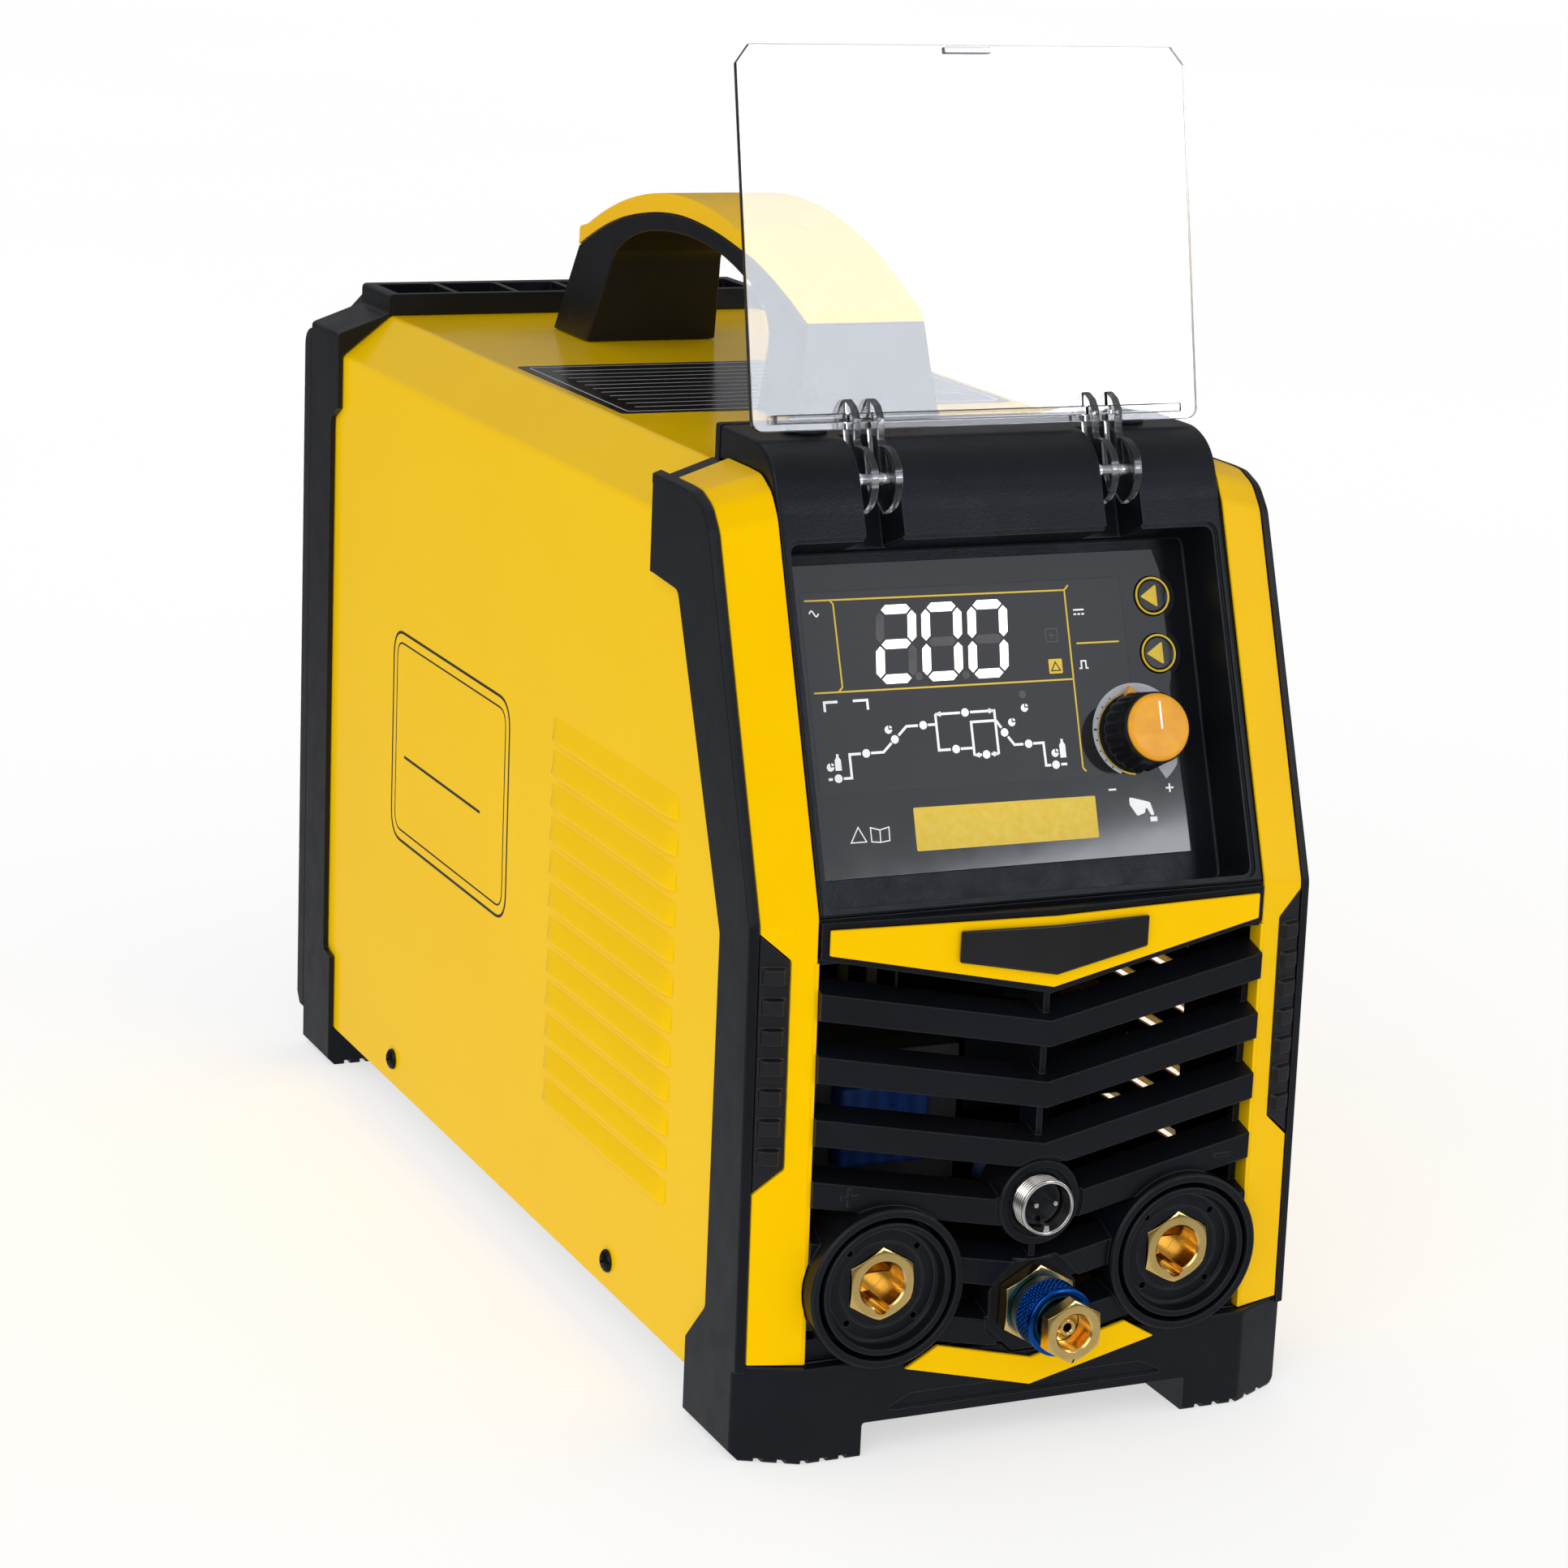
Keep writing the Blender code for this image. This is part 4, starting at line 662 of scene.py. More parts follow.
MATERIALS = {
    "black_plastic": black_plastic(),
    "gloss": glossy_black(),
    "rubber": rubber(),
    "ferrite": ferrite(),
    "yellow_plastic": yellow_plastic(),
    "yellow_paint": yellow_paint(),
    "amber_plastic": amber_plastic(),
    "clear_plastic": clear_plastic("clear polycarbonate", (0.96, 0.97, 1.0), (0.01, 0.03)),
    # A greyer, rougher copy of the clear plastic: painted shade for the cover's edge faces.
    "clear_shaded_edge": clear_plastic("clear polycarbonate with painted edge shade", (0.80, 0.82, 0.86), (0.12, 0.22)),
    "brass": machined("brass", (0.90, 0.62, 0.20), (0.98, 0.72, 0.28), (0.16, 0.26)),
    "blue_anodised": machined(
        "blue anodised aluminium", (0.004, 0.070, 0.36), (0.008, 0.105, 0.50), (0.20, 0.30)
    ),
    "nickel": machined("nickel plate", (0.74, 0.72, 0.69), (0.86, 0.84, 0.81), (0.12, 0.22)),
    "steel": machined("zinc plated steel", (0.42, 0.42, 0.42), (0.56, 0.56, 0.57), (0.28, 0.44)),
    "black_oxide": machined("black oxide steel", (0.020, 0.020, 0.022), (0.034, 0.034, 0.036), (0.30, 0.42)),
    "bare_aluminium": machined(
        "extruded aluminium", (0.60, 0.61, 0.62), (0.74, 0.745, 0.75), (0.26, 0.40), (1.0, 0.05, 1.0)
    ),
    "overlay_film": overlay_film("overlay film", (0.012, 0.0125, 0.015), (0.014, 0.0145, 0.018)),
    "window_film": overlay_film("display window film", (0.017, 0.0172, 0.020), (0.019, 0.0192, 0.022)),
    "circuit_board": circuit_board(),
    "copper": copper(),
    "blue_tape": blue_tape(),
    "yellow_ink": ink("yellow ink", (0.90, 0.62, 0.02)),
    # The white print glows faintly: painted light that brightens it.
    "white_ink": ink("white ink with painted glow", (0.85, 0.86, 0.88), 0.25),
    "grey_ink": ink("grey ink", (0.52, 0.54, 0.60)),
    "ghost_ink": ink("unlit segments", (0.085, 0.078, 0.082)),
    "black_ink": ink("black ink", (0.012, 0.012, 0.013)),
    "digit_light": ink("lit segments", (1.0, 1.0, 1.0), 1.6),
}


# -------------------------------------------------------- pieces on the frame


def show(obj, name, finish, body, sharp=42.0):
    """Gives a piece its name, material, smooth shading and CAD body."""
    obj.name = obj.data.name = name
    obj.data.materials.clear()
    obj.data.materials.append(MATERIALS[finish])
    obj.data.shade_smooth()
    obj.data.set_sharp_from_angle(angle=radians(sharp))
    obj.modifiers.new("flat faces", "WEIGHTED_NORMAL").keep_sharp = True
    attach(obj, body)
    return obj


def skin(obj, node, finish=None, sharp=42.0):
    """Shows a piece in place of a CAD node, on that node's body."""
    show(obj, f"{node}_skin", finish or NODE_SLOT[node], NODE_BODY[node], sharp)
    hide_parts(node)
    return obj


def dress(node, width=0.5, flat=1.0):
    """Shows a CAD node itself, with welded faces, rounded edges and its slot's material."""
    obj = frame["nodes"][node]
    weld = obj.modifiers.new("weld", "WELD")
    weld.merge_threshold = 2e-6
    planar = obj.modifiers.new("flats", "DECIMATE")
    planar.decimate_type = "DISSOLVE"
    planar.angle_limit = radians(flat)
    if width:
        soften(obj, width, 2, 35.0, clamp=True)
    obj.data.materials.clear()
    obj.data.materials.append(MATERIALS[NODE_SLOT[node]])
    return obj


# ---------------------------------------------------------------- front frame


def chamfer_profile(x):
    """The front corner's (y, z) profile at a distance x from the middle."""
    share = (abs(x) - FRONT_FLAT) / (HALF_WIDTH - FRONT_FLAT)
    return [
        (a[0] + (b[0] - a[0]) * share, a[1] + (b[1] - a[1]) * share) for a, b in zip(INNER_EDGE, OUTER_EDGE)
    ]


def smooth_profile(x, end=None):
    """The same profile with its bends rounded."""
    points = chamfer_profile(x)
    if end:
        points = points[:-1] + [(end, points[-2][1])]
    return fillet(points, 7.0, 5, closed=False, only=range(1, 6))


def corner_front(x, z):
    (low_y, low_z), (high_y, high_z) = chamfer_profile(x)[:2]
    return low_y + (high_y - low_y) * (z - low_z) / (high_z - low_z)


def foot_outline(front, back):
    corner = front + 8.9
    half = [(HALF_WIDTH, back), (HALF_WIDTH, corner), (FRONT_FLAT, front)]
    return [(-x, y) for x, y in half] + half[::-1]


def sole_cutters(front, back):
    """The gap between the feet, the bevels along their outer edges and the teeth of their soles."""
    tools = [box((-FOOT_INNER, front, -5), (FOOT_INNER, back, NOTCH_HEIGHT), edge=0.8)]
    for side in (-1, 1):
        tools.append(prism([(side * 78.5, -3), (side * 90, -3), (side * 90, 8.5)], -back, -front, FRONT))
        for i in range(5):
            x = side * (53.5 + i * 5.6)
            tools.append(box((min(x, x + side * 2.2), front, -1.0), (max(x, x + side * 2.2), back, 1.3)))
    return tools


def side_border(side):
    """The frame's raised outer border, which the trim strip and the grip pad lie inside."""
    sections = []
    for x in (STRIP_OUTER + GAP, HALF_WIDTH):
        profile = smooth_profile(x)
        outer, inner = offset(profile, BORDER_RISE), offset(profile, -1.0)
        outer[0], inner[0] = (outer[0][0], FOOT_TOP - 2), (inner[0][0], FOOT_TOP - 2)
        sections.append([(side * x, y, z) for y, z in outer + inner[::-1]])
    return loft(sections, edge=0.4)


def make_front_frame():
    base = prism(foot_outline(0.0, 41.7), 0.0, FOOT_TOP, TOP, edge=0.9)
    sections = []
    for x in (-HALF_WIDTH, -FRONT_FLAT, FRONT_FLAT, HALF_WIDTH):
        section = [(x, y, z) for y, z in smooth_profile(x)]
        sections.append(section + [(x, RIM_BACK, FOOT_TOP - 4), (x, section[0][1], FOOT_TOP - 4)])
    rim = box((-66.2, RIM_FRONT - 1, 250), (66.2, RIM_BACK, CASE_TOP), edge=0.8)
    join(base, loft(sections, edge=0.9, segments=3), rim, *[side_border(side) for side in (-1, 1)])
    hollow = []
    for x, roof in ((-82.3, 249.4), (-66.0, 256.7), (66.0, 256.7), (82.3, 249.4)):
        inner = offset(chamfer_profile(max(abs(x), FRONT_FLAT)), -FRAME_WALL)
        corner = inner[2][0] + 0.36 * (roof - inner[2][1])
        points = [(x, y, z) for y, z in inner[:3]]
        hollow.append(points + [(x, corner, roof), (x, 95, roof), (x, 95, 12.6), (x, inner[0][0], 12.6)])
    rear = [
        (28.3, 36.6), (28.3, 141.4), (64.6, 225.8), (82, 227), (140, 227), (140, -10), (41.75, -10),
        (41.75, 22.5)
    ]
    rear = fillet(rear, 3.0, 3, only=(0, 1, 2))
    opening = box((-OPENING_HALF, -10, FOOT_TOP + GAP), (OPENING_HALF, RIM_FRONT, 280))
    rings = [disc((side * SOCKET_X, SOCKET_Z), RING_RADIUS + GAP, -20, 10) for side in (-1, 1)]
    notch = disc((0, COUPLER_Z - 1), 14.7, -14.0, 10.0, sides=8, turn=pi / 8)
    cut(base, loft(hollow), prism(rear, -90, 90, SIDE), opening, *rings, notch)
    cut(base, *sole_cutters(-5, 60))
    relief = fillet([(-43.5, 12.4), (43.5, 12.4), (35.0, 16.6), (-35.0, 16.6)], 1.0, 3)
    cut(base, prism(relief, -0.9, 5.0, FRONT))
    skin(base, "front_frame")


def make_trim_strip(side, name):
    """The strip on the front corner, with a return into the grille's opening."""
    sections = []
    for x in (STRIP_INNER, STRIP_OUTER):
        profile = smooth_profile(x, 74.0)
        profile[0] = (profile[0][0], FOOT_TOP + GAP)
        outer, inner = offset(profile, 1.5), offset(profile, GAP)
        outer[0] = (outer[0][0], FOOT_TOP + GAP)
        inner[0] = (inner[0][0], FOOT_TOP + GAP)
        sections.append([(side * x, y, z) for y, z in outer + inner[::-1]])
    strip = loft(sections, edge=0.35, segments=3, angle=40.0)
    low, high = (corner_front(66.5, 28.0) - 1.5, 28.0), (corner_front(66.5, 138.6) - 1.5, 138.6)
    for reach, depth in ((66.42, 5.5), (67.2, 1.1)):
        wall = [low, high, (high[0] + depth, high[1]), (low[0] + depth, low[1])]
        near, far = sorted((side * 66.12, side * reach))
        join(strip, prism(wall, near, far, SIDE))
    outline = [(side * x, z) for x, z in ((73.0, 82.5), (73.0, 139.4), (90.0, 154.2), (90.0, 67.4))]
    notch = prism(fillet(outline, 1.2, 3, only=(0, 1)), -40, 10, FRONT)
    ring = disc((side * SOCKET_X, SOCKET_Z), RING_RADIUS + GAP, -20, 10)
    skin(cut(strip, notch, ring), f"trim_strip_{name}")


def make_grip_pad(side, name):
    sections = []
    for x, low, high in ((73.3, 82.8, 139.1), (STRIP_OUTER, 76.4, 146.0)):
        bottom, top = corner_front(x, low) - GAP, corner_front(x, high) - GAP
        corners = ((bottom - 1.2, low), (bottom, low), (top, high), (top - 1.2, high))
        sections.append([(side * x, y, z) for y, z in corners])
    pad = loft(sections, edge=0.35)
    blocks = []
    for i in range(GRIP_BLOCKS):
        z = GRIP_TOP - GRIP_PITCH * i
        sections = []
        for x, rise in ((74.0, 1.0), (75.5, 3.1), (79.0, 3.1), (80.4, 2.0)):
            front = corner_front(x, z - 2.4) - GAP
            corners = ((-0.4, 0.2), (-rise, -0.7), (-rise, -4.6), (-0.4, -4.9))
            sections.append([(side * x, front + y, z + fall) for y, fall in corners])
        blocks.append(loft(sections, edge=0.18, segments=2, angle=20.0))
    skin(join(pad, *blocks), f"grip_pad_{name}")


# ------------------------------------------------------------ display housing


def make_display_housing():
    back = HOUSING_BACK
    shoulder = spline(
        [(41.53, 249.3), SLOPE_TOP, (46.3, 260.2), (50.8, 264.3), (57.0, 266.5), (64.0, 266.8)], 6
    )
    outer = [SLOPE_FOOT, *shoulder, (back, 266.8), (back, SLOPE_FOOT[1])]
    shell = prism(outer, -HOUSING_HALF, HOUSING_HALF, SIDE, edge=1.1, segments=3)
    inner = [(7.3, 140), (46.1, 253.6), (48.7, 258.4), (52.4, 262.0), (57.5, 264.3), (95, 264.3), (95, 140)]
    limit = HOUSING_HALF - HOUSING_WALL
    cut(shell, prism(inner, -limit, limit, SIDE))
    under = RECESS_DEPTH + RECESS_FLOOR
    tub = [
        on_slope(0.5, 0.5), on_slope(0.5, under), on_slope(RECESS_HIGH + 2.5, under),
        on_slope(RECESS_HIGH + 2.5, 0.5)
    ]
    walls = [
        on_slope(RECESS_HIGH + 0.5, 0.5), on_slope(RECESS_HIGH + 0.5, SLOT_DEPTH + 2),
        on_slope(116, SLOT_DEPTH + 2)
    ]
    walls += [(63.4, 256.5), (63.4, 265.5), (57.2, 265.5), (51.5, 263.0), (47.2, 259.0), (44.3, 254.0)]
    slot_walls = [prism(walls, x - SLOT_HALF - 2, x + SLOT_HALF + 2, SIDE) for x in (-SLOT_X, SLOT_X)]
    join(shell, prism(tub, -limit - 1, limit + 1, SIDE), *slot_walls)
    corners = rectangle((-RECESS_HALF, RECESS_LOW), (RECESS_HALF, RECESS_HIGH))
    recess = prism(fillet(corners, 3.0, 6), -RECESS_DEPTH, 20.0, SLOPE, edge=0.9, segments=3)
    lip = [(x * 1.018, s + (1.1 if s > 50 else -1.1)) for x, s in corners]
    cut(shell, recess, prism(fillet(lip, 3.6, 6), -1.1, 20.0, SLOPE))
    for side in (-1, 1):
        x = side * SLOT_X
        slot = [
            on_slope(RECESS_HIGH - 2, -20), on_slope(RECESS_HIGH - 2, SLOT_DEPTH), on_slope(115, SLOT_DEPTH)
        ]
        slot += [(61.2, 257.2), (61.2, 290), (0, 290)]
        flare = [
            (x - SLOT_HALF, 99.0), (x - SLOT_HALF - 2.2, 95.5), (x + SLOT_HALF + 2.2, 95.5),
            (x + SLOT_HALF, 99.0)
        ]
        pin = disc((HINGE_Y, HINGE_Z), PIN_RADIUS + GAP, x - 7.0, x + 7.0, SIDE, 24)
        cut(
            shell, prism(slot, x - SLOT_HALF, x + SLOT_HALF, SIDE, edge=0.6),
            prism(flare, -SLOT_DEPTH, 20.0, SLOPE), pin
        )
    for height in BUTTON_HEIGHTS.values():
        cut(shell, disc((BUTTON_X, height), BUTTON_RADIUS + 0.4, -30, -10, SLOPE))
    cut(shell, disc((KNOB_X, KNOB_HEIGHT), 4.6, -30, -10, SLOPE), box((-80, 64.5, 100), (80, 100, 258)))
    skin(shell, "display_housing")


def make_overlay():
    edge = [(-57.0, 10.9), (55.0, 10.9), (54.2, 30.0), (53.6, 56.5)]
    for height in (BUTTON_HEIGHTS["lower"], BUTTON_HEIGHTS["upper"]):
        edge += arc((BUTTON_X, height), 7.2, -60, 60, 20)
    edge += [(52.6, 95.0), (-57.0, 95.0)]
    film = prism(edge, -OVERLAY_FRONT - 0.8, -OVERLAY_FRONT, SLOPE, edge=0.15)
    holes = [
        disc((BUTTON_X, height), BUTTON_RADIUS + 0.35, -30, -10, SLOPE)
        for height in BUTTON_HEIGHTS.values()
    ]
    skin(cut(film, *holes, disc((KNOB_X, KNOB_HEIGHT), 5.4, -30, -10, SLOPE)), "display_overlay")
    corners = rectangle((-55.0, 33.8), (41.5, 87.7))
    window = prism(fillet(corners, 1.5, 4), -OVERLAY_FRONT - 0.02, -OVERLAY_FRONT + 0.03, SLOPE)
    cut(window, disc((KNOB_X, KNOB_HEIGHT), 5.4, -30, -10, SLOPE))
    show(window, "display_window", "window_film", "case")


# ---------------------------------------------------------------- printed art


def ribbon(points, width, closed=False):
    """The outline of a line of this width through points."""
    count = len(points)
    left, right = [], []
    for i, point in enumerate(points):
        here = Vector(point)
        ends = [Vector(points[j]) for j in ((i - 1) % count, (i + 1) % count)]
        runs = []
        if closed or i > 0:
            runs.append((here - ends[0]).normalized())
        if closed or i < count - 1:
            runs.append((ends[1] - here).normalized())
        run = sum(runs, Vector((0.0, 0.0))).normalized()
        side = Vector((-run.y, run.x)) * (width / 2 / max(run.dot(runs[0]), 0.4))
        left.append(tuple(here + side))
        right.append(tuple(here - side))
    return left, right


def line(points, width, place, level, thick=INK, closed=False):
    """A printed line: a thin solid ribbon on a surface at this level."""
    left, right = ribbon(points, width, closed)
    work = bmesh.new()
    rows = []
    for a, b in zip(left, right):
        rows.append(
            [work.verts.new((*p, h))
            for p, h in ((a, level), (b, level), (b, level + thick), (a, level + thick))]
        )
    pairs = list(zip(rows, rows[1:])) + ([(rows[-1], rows[0])] if closed else [])
    for one, two in pairs:
        for i in range(4):
            j = (i + 1) % 4
            work.faces.new((one[i], one[j], two[j], two[i]))
    if not closed:
        work.faces.new(rows[0])
        work.faces.new(rows[-1])
    return new_piece(work, place)


def segment_digit(x_top, x_bottom, high, low, lit):
    """A leaning seven-segment digit: the outlines of its lit and of its unlit segments."""
    half, thick, middle = 4.75, 1.25, (high + low) / 2
    found = ([], [])
    for key, v in (("top", high), ("middle", middle), ("bottom", low)):
        bar = segment(half - 0.45, thick)
        found[key not in lit].append([(u, v + w) for u, w in bar])
    for key, u, one, two in (
        ("upper left", -half, middle, high),
        ("upper right", half, middle, high),
        ("lower left", -half, low, middle),
        ("lower right", half, low, middle),
    ):
        bar = segment((two - one) / 2 - 0.45, thick)
        found[key not in lit].append([(u + w, (one + two) / 2 + v) for v, w in bar])
    lean = (x_top - x_bottom) / (high - low)
    return [
        [[(x_bottom + lean * (v - low) + u, v) for u, v in outline] for outline in group] for group in found
    ]


def segment(reach, thick):
    """A bar along the first axis with pointed ends."""
    half = [(-reach, 0), (-reach + thick, thick), (reach - thick, thick)]
    return half + [(-u, -v) for u, v in half]


class Print:
    """Printed shapes of one colour on the display film, gathered into one piece."""

    level = -OVERLAY_FRONT + 0.01

    def __init__(self, name, finish):
        self.name, self.finish, self.shapes = name, finish, []

    def line(self, *points, width=0.7, closed=False):
        self.shapes.append(line(points, width, SLOPE, self.level, closed=closed))

    def lines(self, *paths, width=0.7):
        for path in paths:
            self.line(*path, width=width)

    def area(self, *points):
        self.shapes.append(prism(points, self.level, self.level + INK, SLOPE))

    def dot(self, x, s, radius=1.1, sides=24):
        self.shapes.append(disc((x, s), radius, self.level, self.level + INK, SLOPE, sides))

    def timer(self, x, s):
        """A clock face with its upper right quarter cut out."""
        self.area((x, s), (x, s + 1.1), *arc((x, s), 1.1, 90, 360, 14)[1:])
        self.area(*[(x + 0.35 + u, s + 0.35 + v) for u, v in [(0, 0)] + arc((0, 0), 0.75, 0, 90, 6)])

    def arrow(self, x, s, turn):
        """A small solid arrow head that points along the turn."""
        self.area(*turned_spots([(0.0, 0.0), (-2.0, 0.75), (-2.0, -0.75)], turn, (x, s)))

    def done(self):
        return show(merge(self.shapes), self.name, self.finish, "case")


def print_yellow():
    art = Print("print_yellow", "yellow_ink")
    art.lines(
        ((-53.7, 85.4), (24.1, 84.8), (25.4, 86.1)),
        ((-46.3, 85.3), (-45.4, 84.3), (-45.2, 61.9), (-46.3, 60.8)),
        ((-53.6, 60.7), (24.0, 60.3)),
        ((24.1, 84.8), (24.0, 60.3), (23.9, 36.0), (24.8, 34.9)),
        ((26.1, 70.0), (39.2, 69.9)),
        dial_sweep(11.3, 55.0, 264.0),
        width=0.45,
    )
    plate = fillet([(-28.3, 28.5), (26.6, 28.1), (26.5, 16.7), (-28.4, 16.8)], 0.4, 2)
    art.area(*plate)
    art.area(*fillet([(16.9, 66.1), (21.0, 66.1), (21.0, 62.1), (16.9, 62.1)], 0.3, 2))
    art.done()


def round_knob(radius, angle):
    """The point of the slope at this distance and angle, in degrees, from the knob's axis."""
    return KNOB_X + radius * cos(radians(angle)), KNOB_HEIGHT + radius * sin(radians(angle))


def dial_sweep(radius, start, end, steps=36):
    """Points along an arc round the knob."""
    return [round_knob(radius, start + (end - start) * i / steps) for i in range(steps + 1)]


def print_white():
    art = Print("print_white", "white_ink")
    art.lines(
        ((-51.0, 55.6), (-51.0, 58.1), (-47.1, 58.1)),
        ((-42.6, 58.1), (-38.4, 58.1), (-38.4, 55.5)),
        ((-52.0, 37.6), (-50.8, 37.6)),
        ((-47.6, 37.6), (-45.2, 37.6), (-45.2, 43.9), (-41.9, 43.9)),
        ((-38.9, 43.9), (-35.2, 43.9), (-32.6, 46.2)),
        ((-30.3, 48.1), (-27.7, 50.4), (-24.3, 50.4)),
        ((-21.3, 50.4), (-19.1, 50.4)),
        ((-18.8, 53.1), (-18.8, 43.4), (-15.3, 43.4)),
        ((-12.3, 43.4), (-8.5, 43.4)),
        ((-18.8, 53.1), (-11.4, 53.1)),
        ((-8.4, 53.1), (-1.1, 53.1), (-1.1, 41.3)),
        ((-0.9, 50.4), (-8.4, 50.4), (-8.4, 41.3)),
        ((-8.2, 41.4), (-6.2, 41.4)),
        ((-3.3, 41.4), (-1.1, 41.4)),
        ((-0.9, 50.4), (0.5, 48.3)),
        ((2.2, 45.8), (3.9, 43.5), (6.6, 43.5)),
        ((9.6, 43.5), (12.7, 43.5), (12.8, 37.3), (14.3, 37.3)),
        ((17.4, 37.3), (19.2, 37.3)),
    )
    for x, s in (
        (-49.1, 37.7), (-40.3, 43.9), (-31.5, 47.1), (-22.7, 50.4), (-13.7, 43.4), (-9.9, 53.1),
        (-4.8, 41.4), (1.3, 47.0), (8.2, 43.5), (15.8, 37.3),
    ):
        art.dot(x, s, 1.15)
    for x, s, turn in ((-18.0, 53.1, pi), (-2.0, 53.1, 0.0), (-7.6, 41.4, pi), (-1.9, 41.4, 0.0)):
        art.arrow(x + 1.2 * cos(turn), s, turn)
    for x, s in ((-33.1, 49.8), (-51.1, 40.8), (3.8, 49.6), (8.1, 53.3), (15.9, 40.5)):
        art.timer(x, s)
    for low_x, high_x, low in ((-49.7, -47.9, 39.8), (17.4, 19.2, 39.1)):
        middle = (low_x + high_x) / 2
        bottle = [(low_x, low), (high_x, low), (high_x, 42.6), (middle + 0.35, 43.4), (middle + 0.35, 44.2)]
        bottle += [(middle - 0.35, 44.2), (middle - 0.35, 43.4), (low_x, 42.6)]
        art.area(*bottle)
    art.lines(
        ((31.0, 29.4), (33.3, 29.4)), ((48.7, 28.8), (51.1, 28.8)), ((49.9, 27.6), (49.9, 30.0)), width=0.5
    )
    hand = [
        (37.0, 27.0), (41.4, 25.8), (43.3, 25.2), (44.3, 21.7), (43.3, 21.6), (41.9, 24.2), (41.4, 22.4),
        (39.0, 21.7), (38.4, 22.7), (37.0, 24.9)
    ]
    art.area(*fillet(hand, 0.5, 3))
    art.area((42.9, 19.9), (45.0, 19.9), (45.0, 21.2), (42.9, 21.2))
    art.line((-45.0, 24.4), (-47.4, 20.4), (-42.9, 20.4), width=0.3, closed=True)
    art.line(
        (-41.4, 24.1), (-38.7, 23.3), (-36.0, 23.9), (-36.1, 20.3), (-38.8, 20.0), (-41.4, 20.3), width=0.3,
        closed=True
    )
    art.line((-38.7, 23.3), (-38.8, 20.0), width=0.3)
    wave = [(-52.6 + 0.3 * i, 81.9 + 0.8 * sin(2 * pi * i / 9)) for i in range(10)]
    art.line(*wave, width=0.4)
    art.line((26.2, 79.2), (29.4, 79.2), width=0.45)
    for i in range(3):
        art.line((26.2 + 1.2 * i, 78.0), (27.0 + 1.2 * i, 78.0), width=0.45)
    art.line((26.2, 63.1), (26.9, 63.1), (26.9, 65.1), (28.3, 65.1), (28.3, 63.1), (29.0, 63.1), width=0.4)
    art.done()


def print_dial():
    art = Print("print_dial", "grey_ink")
    start, end, steps = -58.0, 243.0, 75
    outer = []
    for i in range(steps + 1):
        angle = start + (end - start) * i / steps
        reach = 12.2 + 3.2 * (end - angle) / (end - start)
        x, height = round_knob(reach, angle)
        outer.append((min(x, 53.2), height))
    art.area(*outer, *dial_sweep(11.2, start, end, steps)[::-1])
    art.done()
    marks = Print("print_marks", "black_ink")
    marks.level = Print.level + 0.05
    for angle in (124, 140, 157, 172, 186, 201, 215, 228):
        reach, width = (12.6, 0.5) if angle == 172 else (12.2, 0.35)
        marks.line(round_knob(11.7, angle), round_knob(reach, angle), width=width)
    marks.line((18.95, 65.2), (17.6, 62.9), (20.3, 62.9), width=0.3, closed=True)
    marks.done()


def print_digits():
    lit, unlit = Print("display_digits", "digit_light"), Print("display_unlit", "ghost_ink")
    every = {"top", "middle", "bottom", "upper left", "upper right", "lower left", "lower right"}
    for x_top, x_bottom, off in (
        (-27.2, -28.95, {"upper left", "lower right"}),
        (-13.6, -15.2, {"middle"}),
        (0.2, -1.4, {"middle"}),
    ):
        shapes, others = segment_digit(x_top, x_bottom, 82.0, 63.3, every - off)
        for outline in shapes:
            lit.area(*outline)
        for outline in others:
            unlit.area(*outline)
    for x, s in ((-22.4, 63.6), (-8.4, 63.2), (7.9, 57.0)):
        unlit.dot(x, s, 1.1)
    unlit.line((16.9, 70.8), (20.4, 70.8), (20.4, 74.4), (16.9, 74.4), width=0.3, closed=True)
    unlit.line((17.7, 72.6), (19.6, 72.6), width=0.3)
    unlit.line((18.65, 71.7), (18.65, 73.5), width=0.3)
    lit.done()
    unlit.done()


# ------------------------------------------------------------------- controls


def make_buttons():
    for name, height in BUTTON_HEIGHTS.items():
        radius = BUTTON_RADIUS
        profile = [
            (0, -16.75), (radius - 1.1, -16.75), (radius - 0.9, -16.45), (radius - 0.4, -16.3),
            (radius, -16.6)
        ]
        profile += [(radius, -21.5), (2.0, -22.2), (2.0, -27.1), (0, -27.1)]
        node = f"button_{name}"
        skin(lathe(profile, (BUTTON_X, height), SLOPE), node, "gloss")
        ring = [
            (radius - 0.75, -16.5), (radius - 0.45, -16.24), (radius - 0.1, -16.24), (radius, -16.5)
        ]
        show(
            lathe(ring, (BUTTON_X, height), SLOPE, closed=True), f"{node}_ring", "yellow_ink",
            NODE_BODY[node]
        )
        arrow = [(BUTTON_X - 3.7, height), (BUTTON_X + 1.4, height + 3.2), (BUTTON_X + 1.4, height - 3.2)]
        mark = prism(fillet(arrow, 0.35, 3), -16.77, -16.62, SLOPE)
        show(mark, f"{node}_arrow", "yellow_ink", NODE_BODY[node])


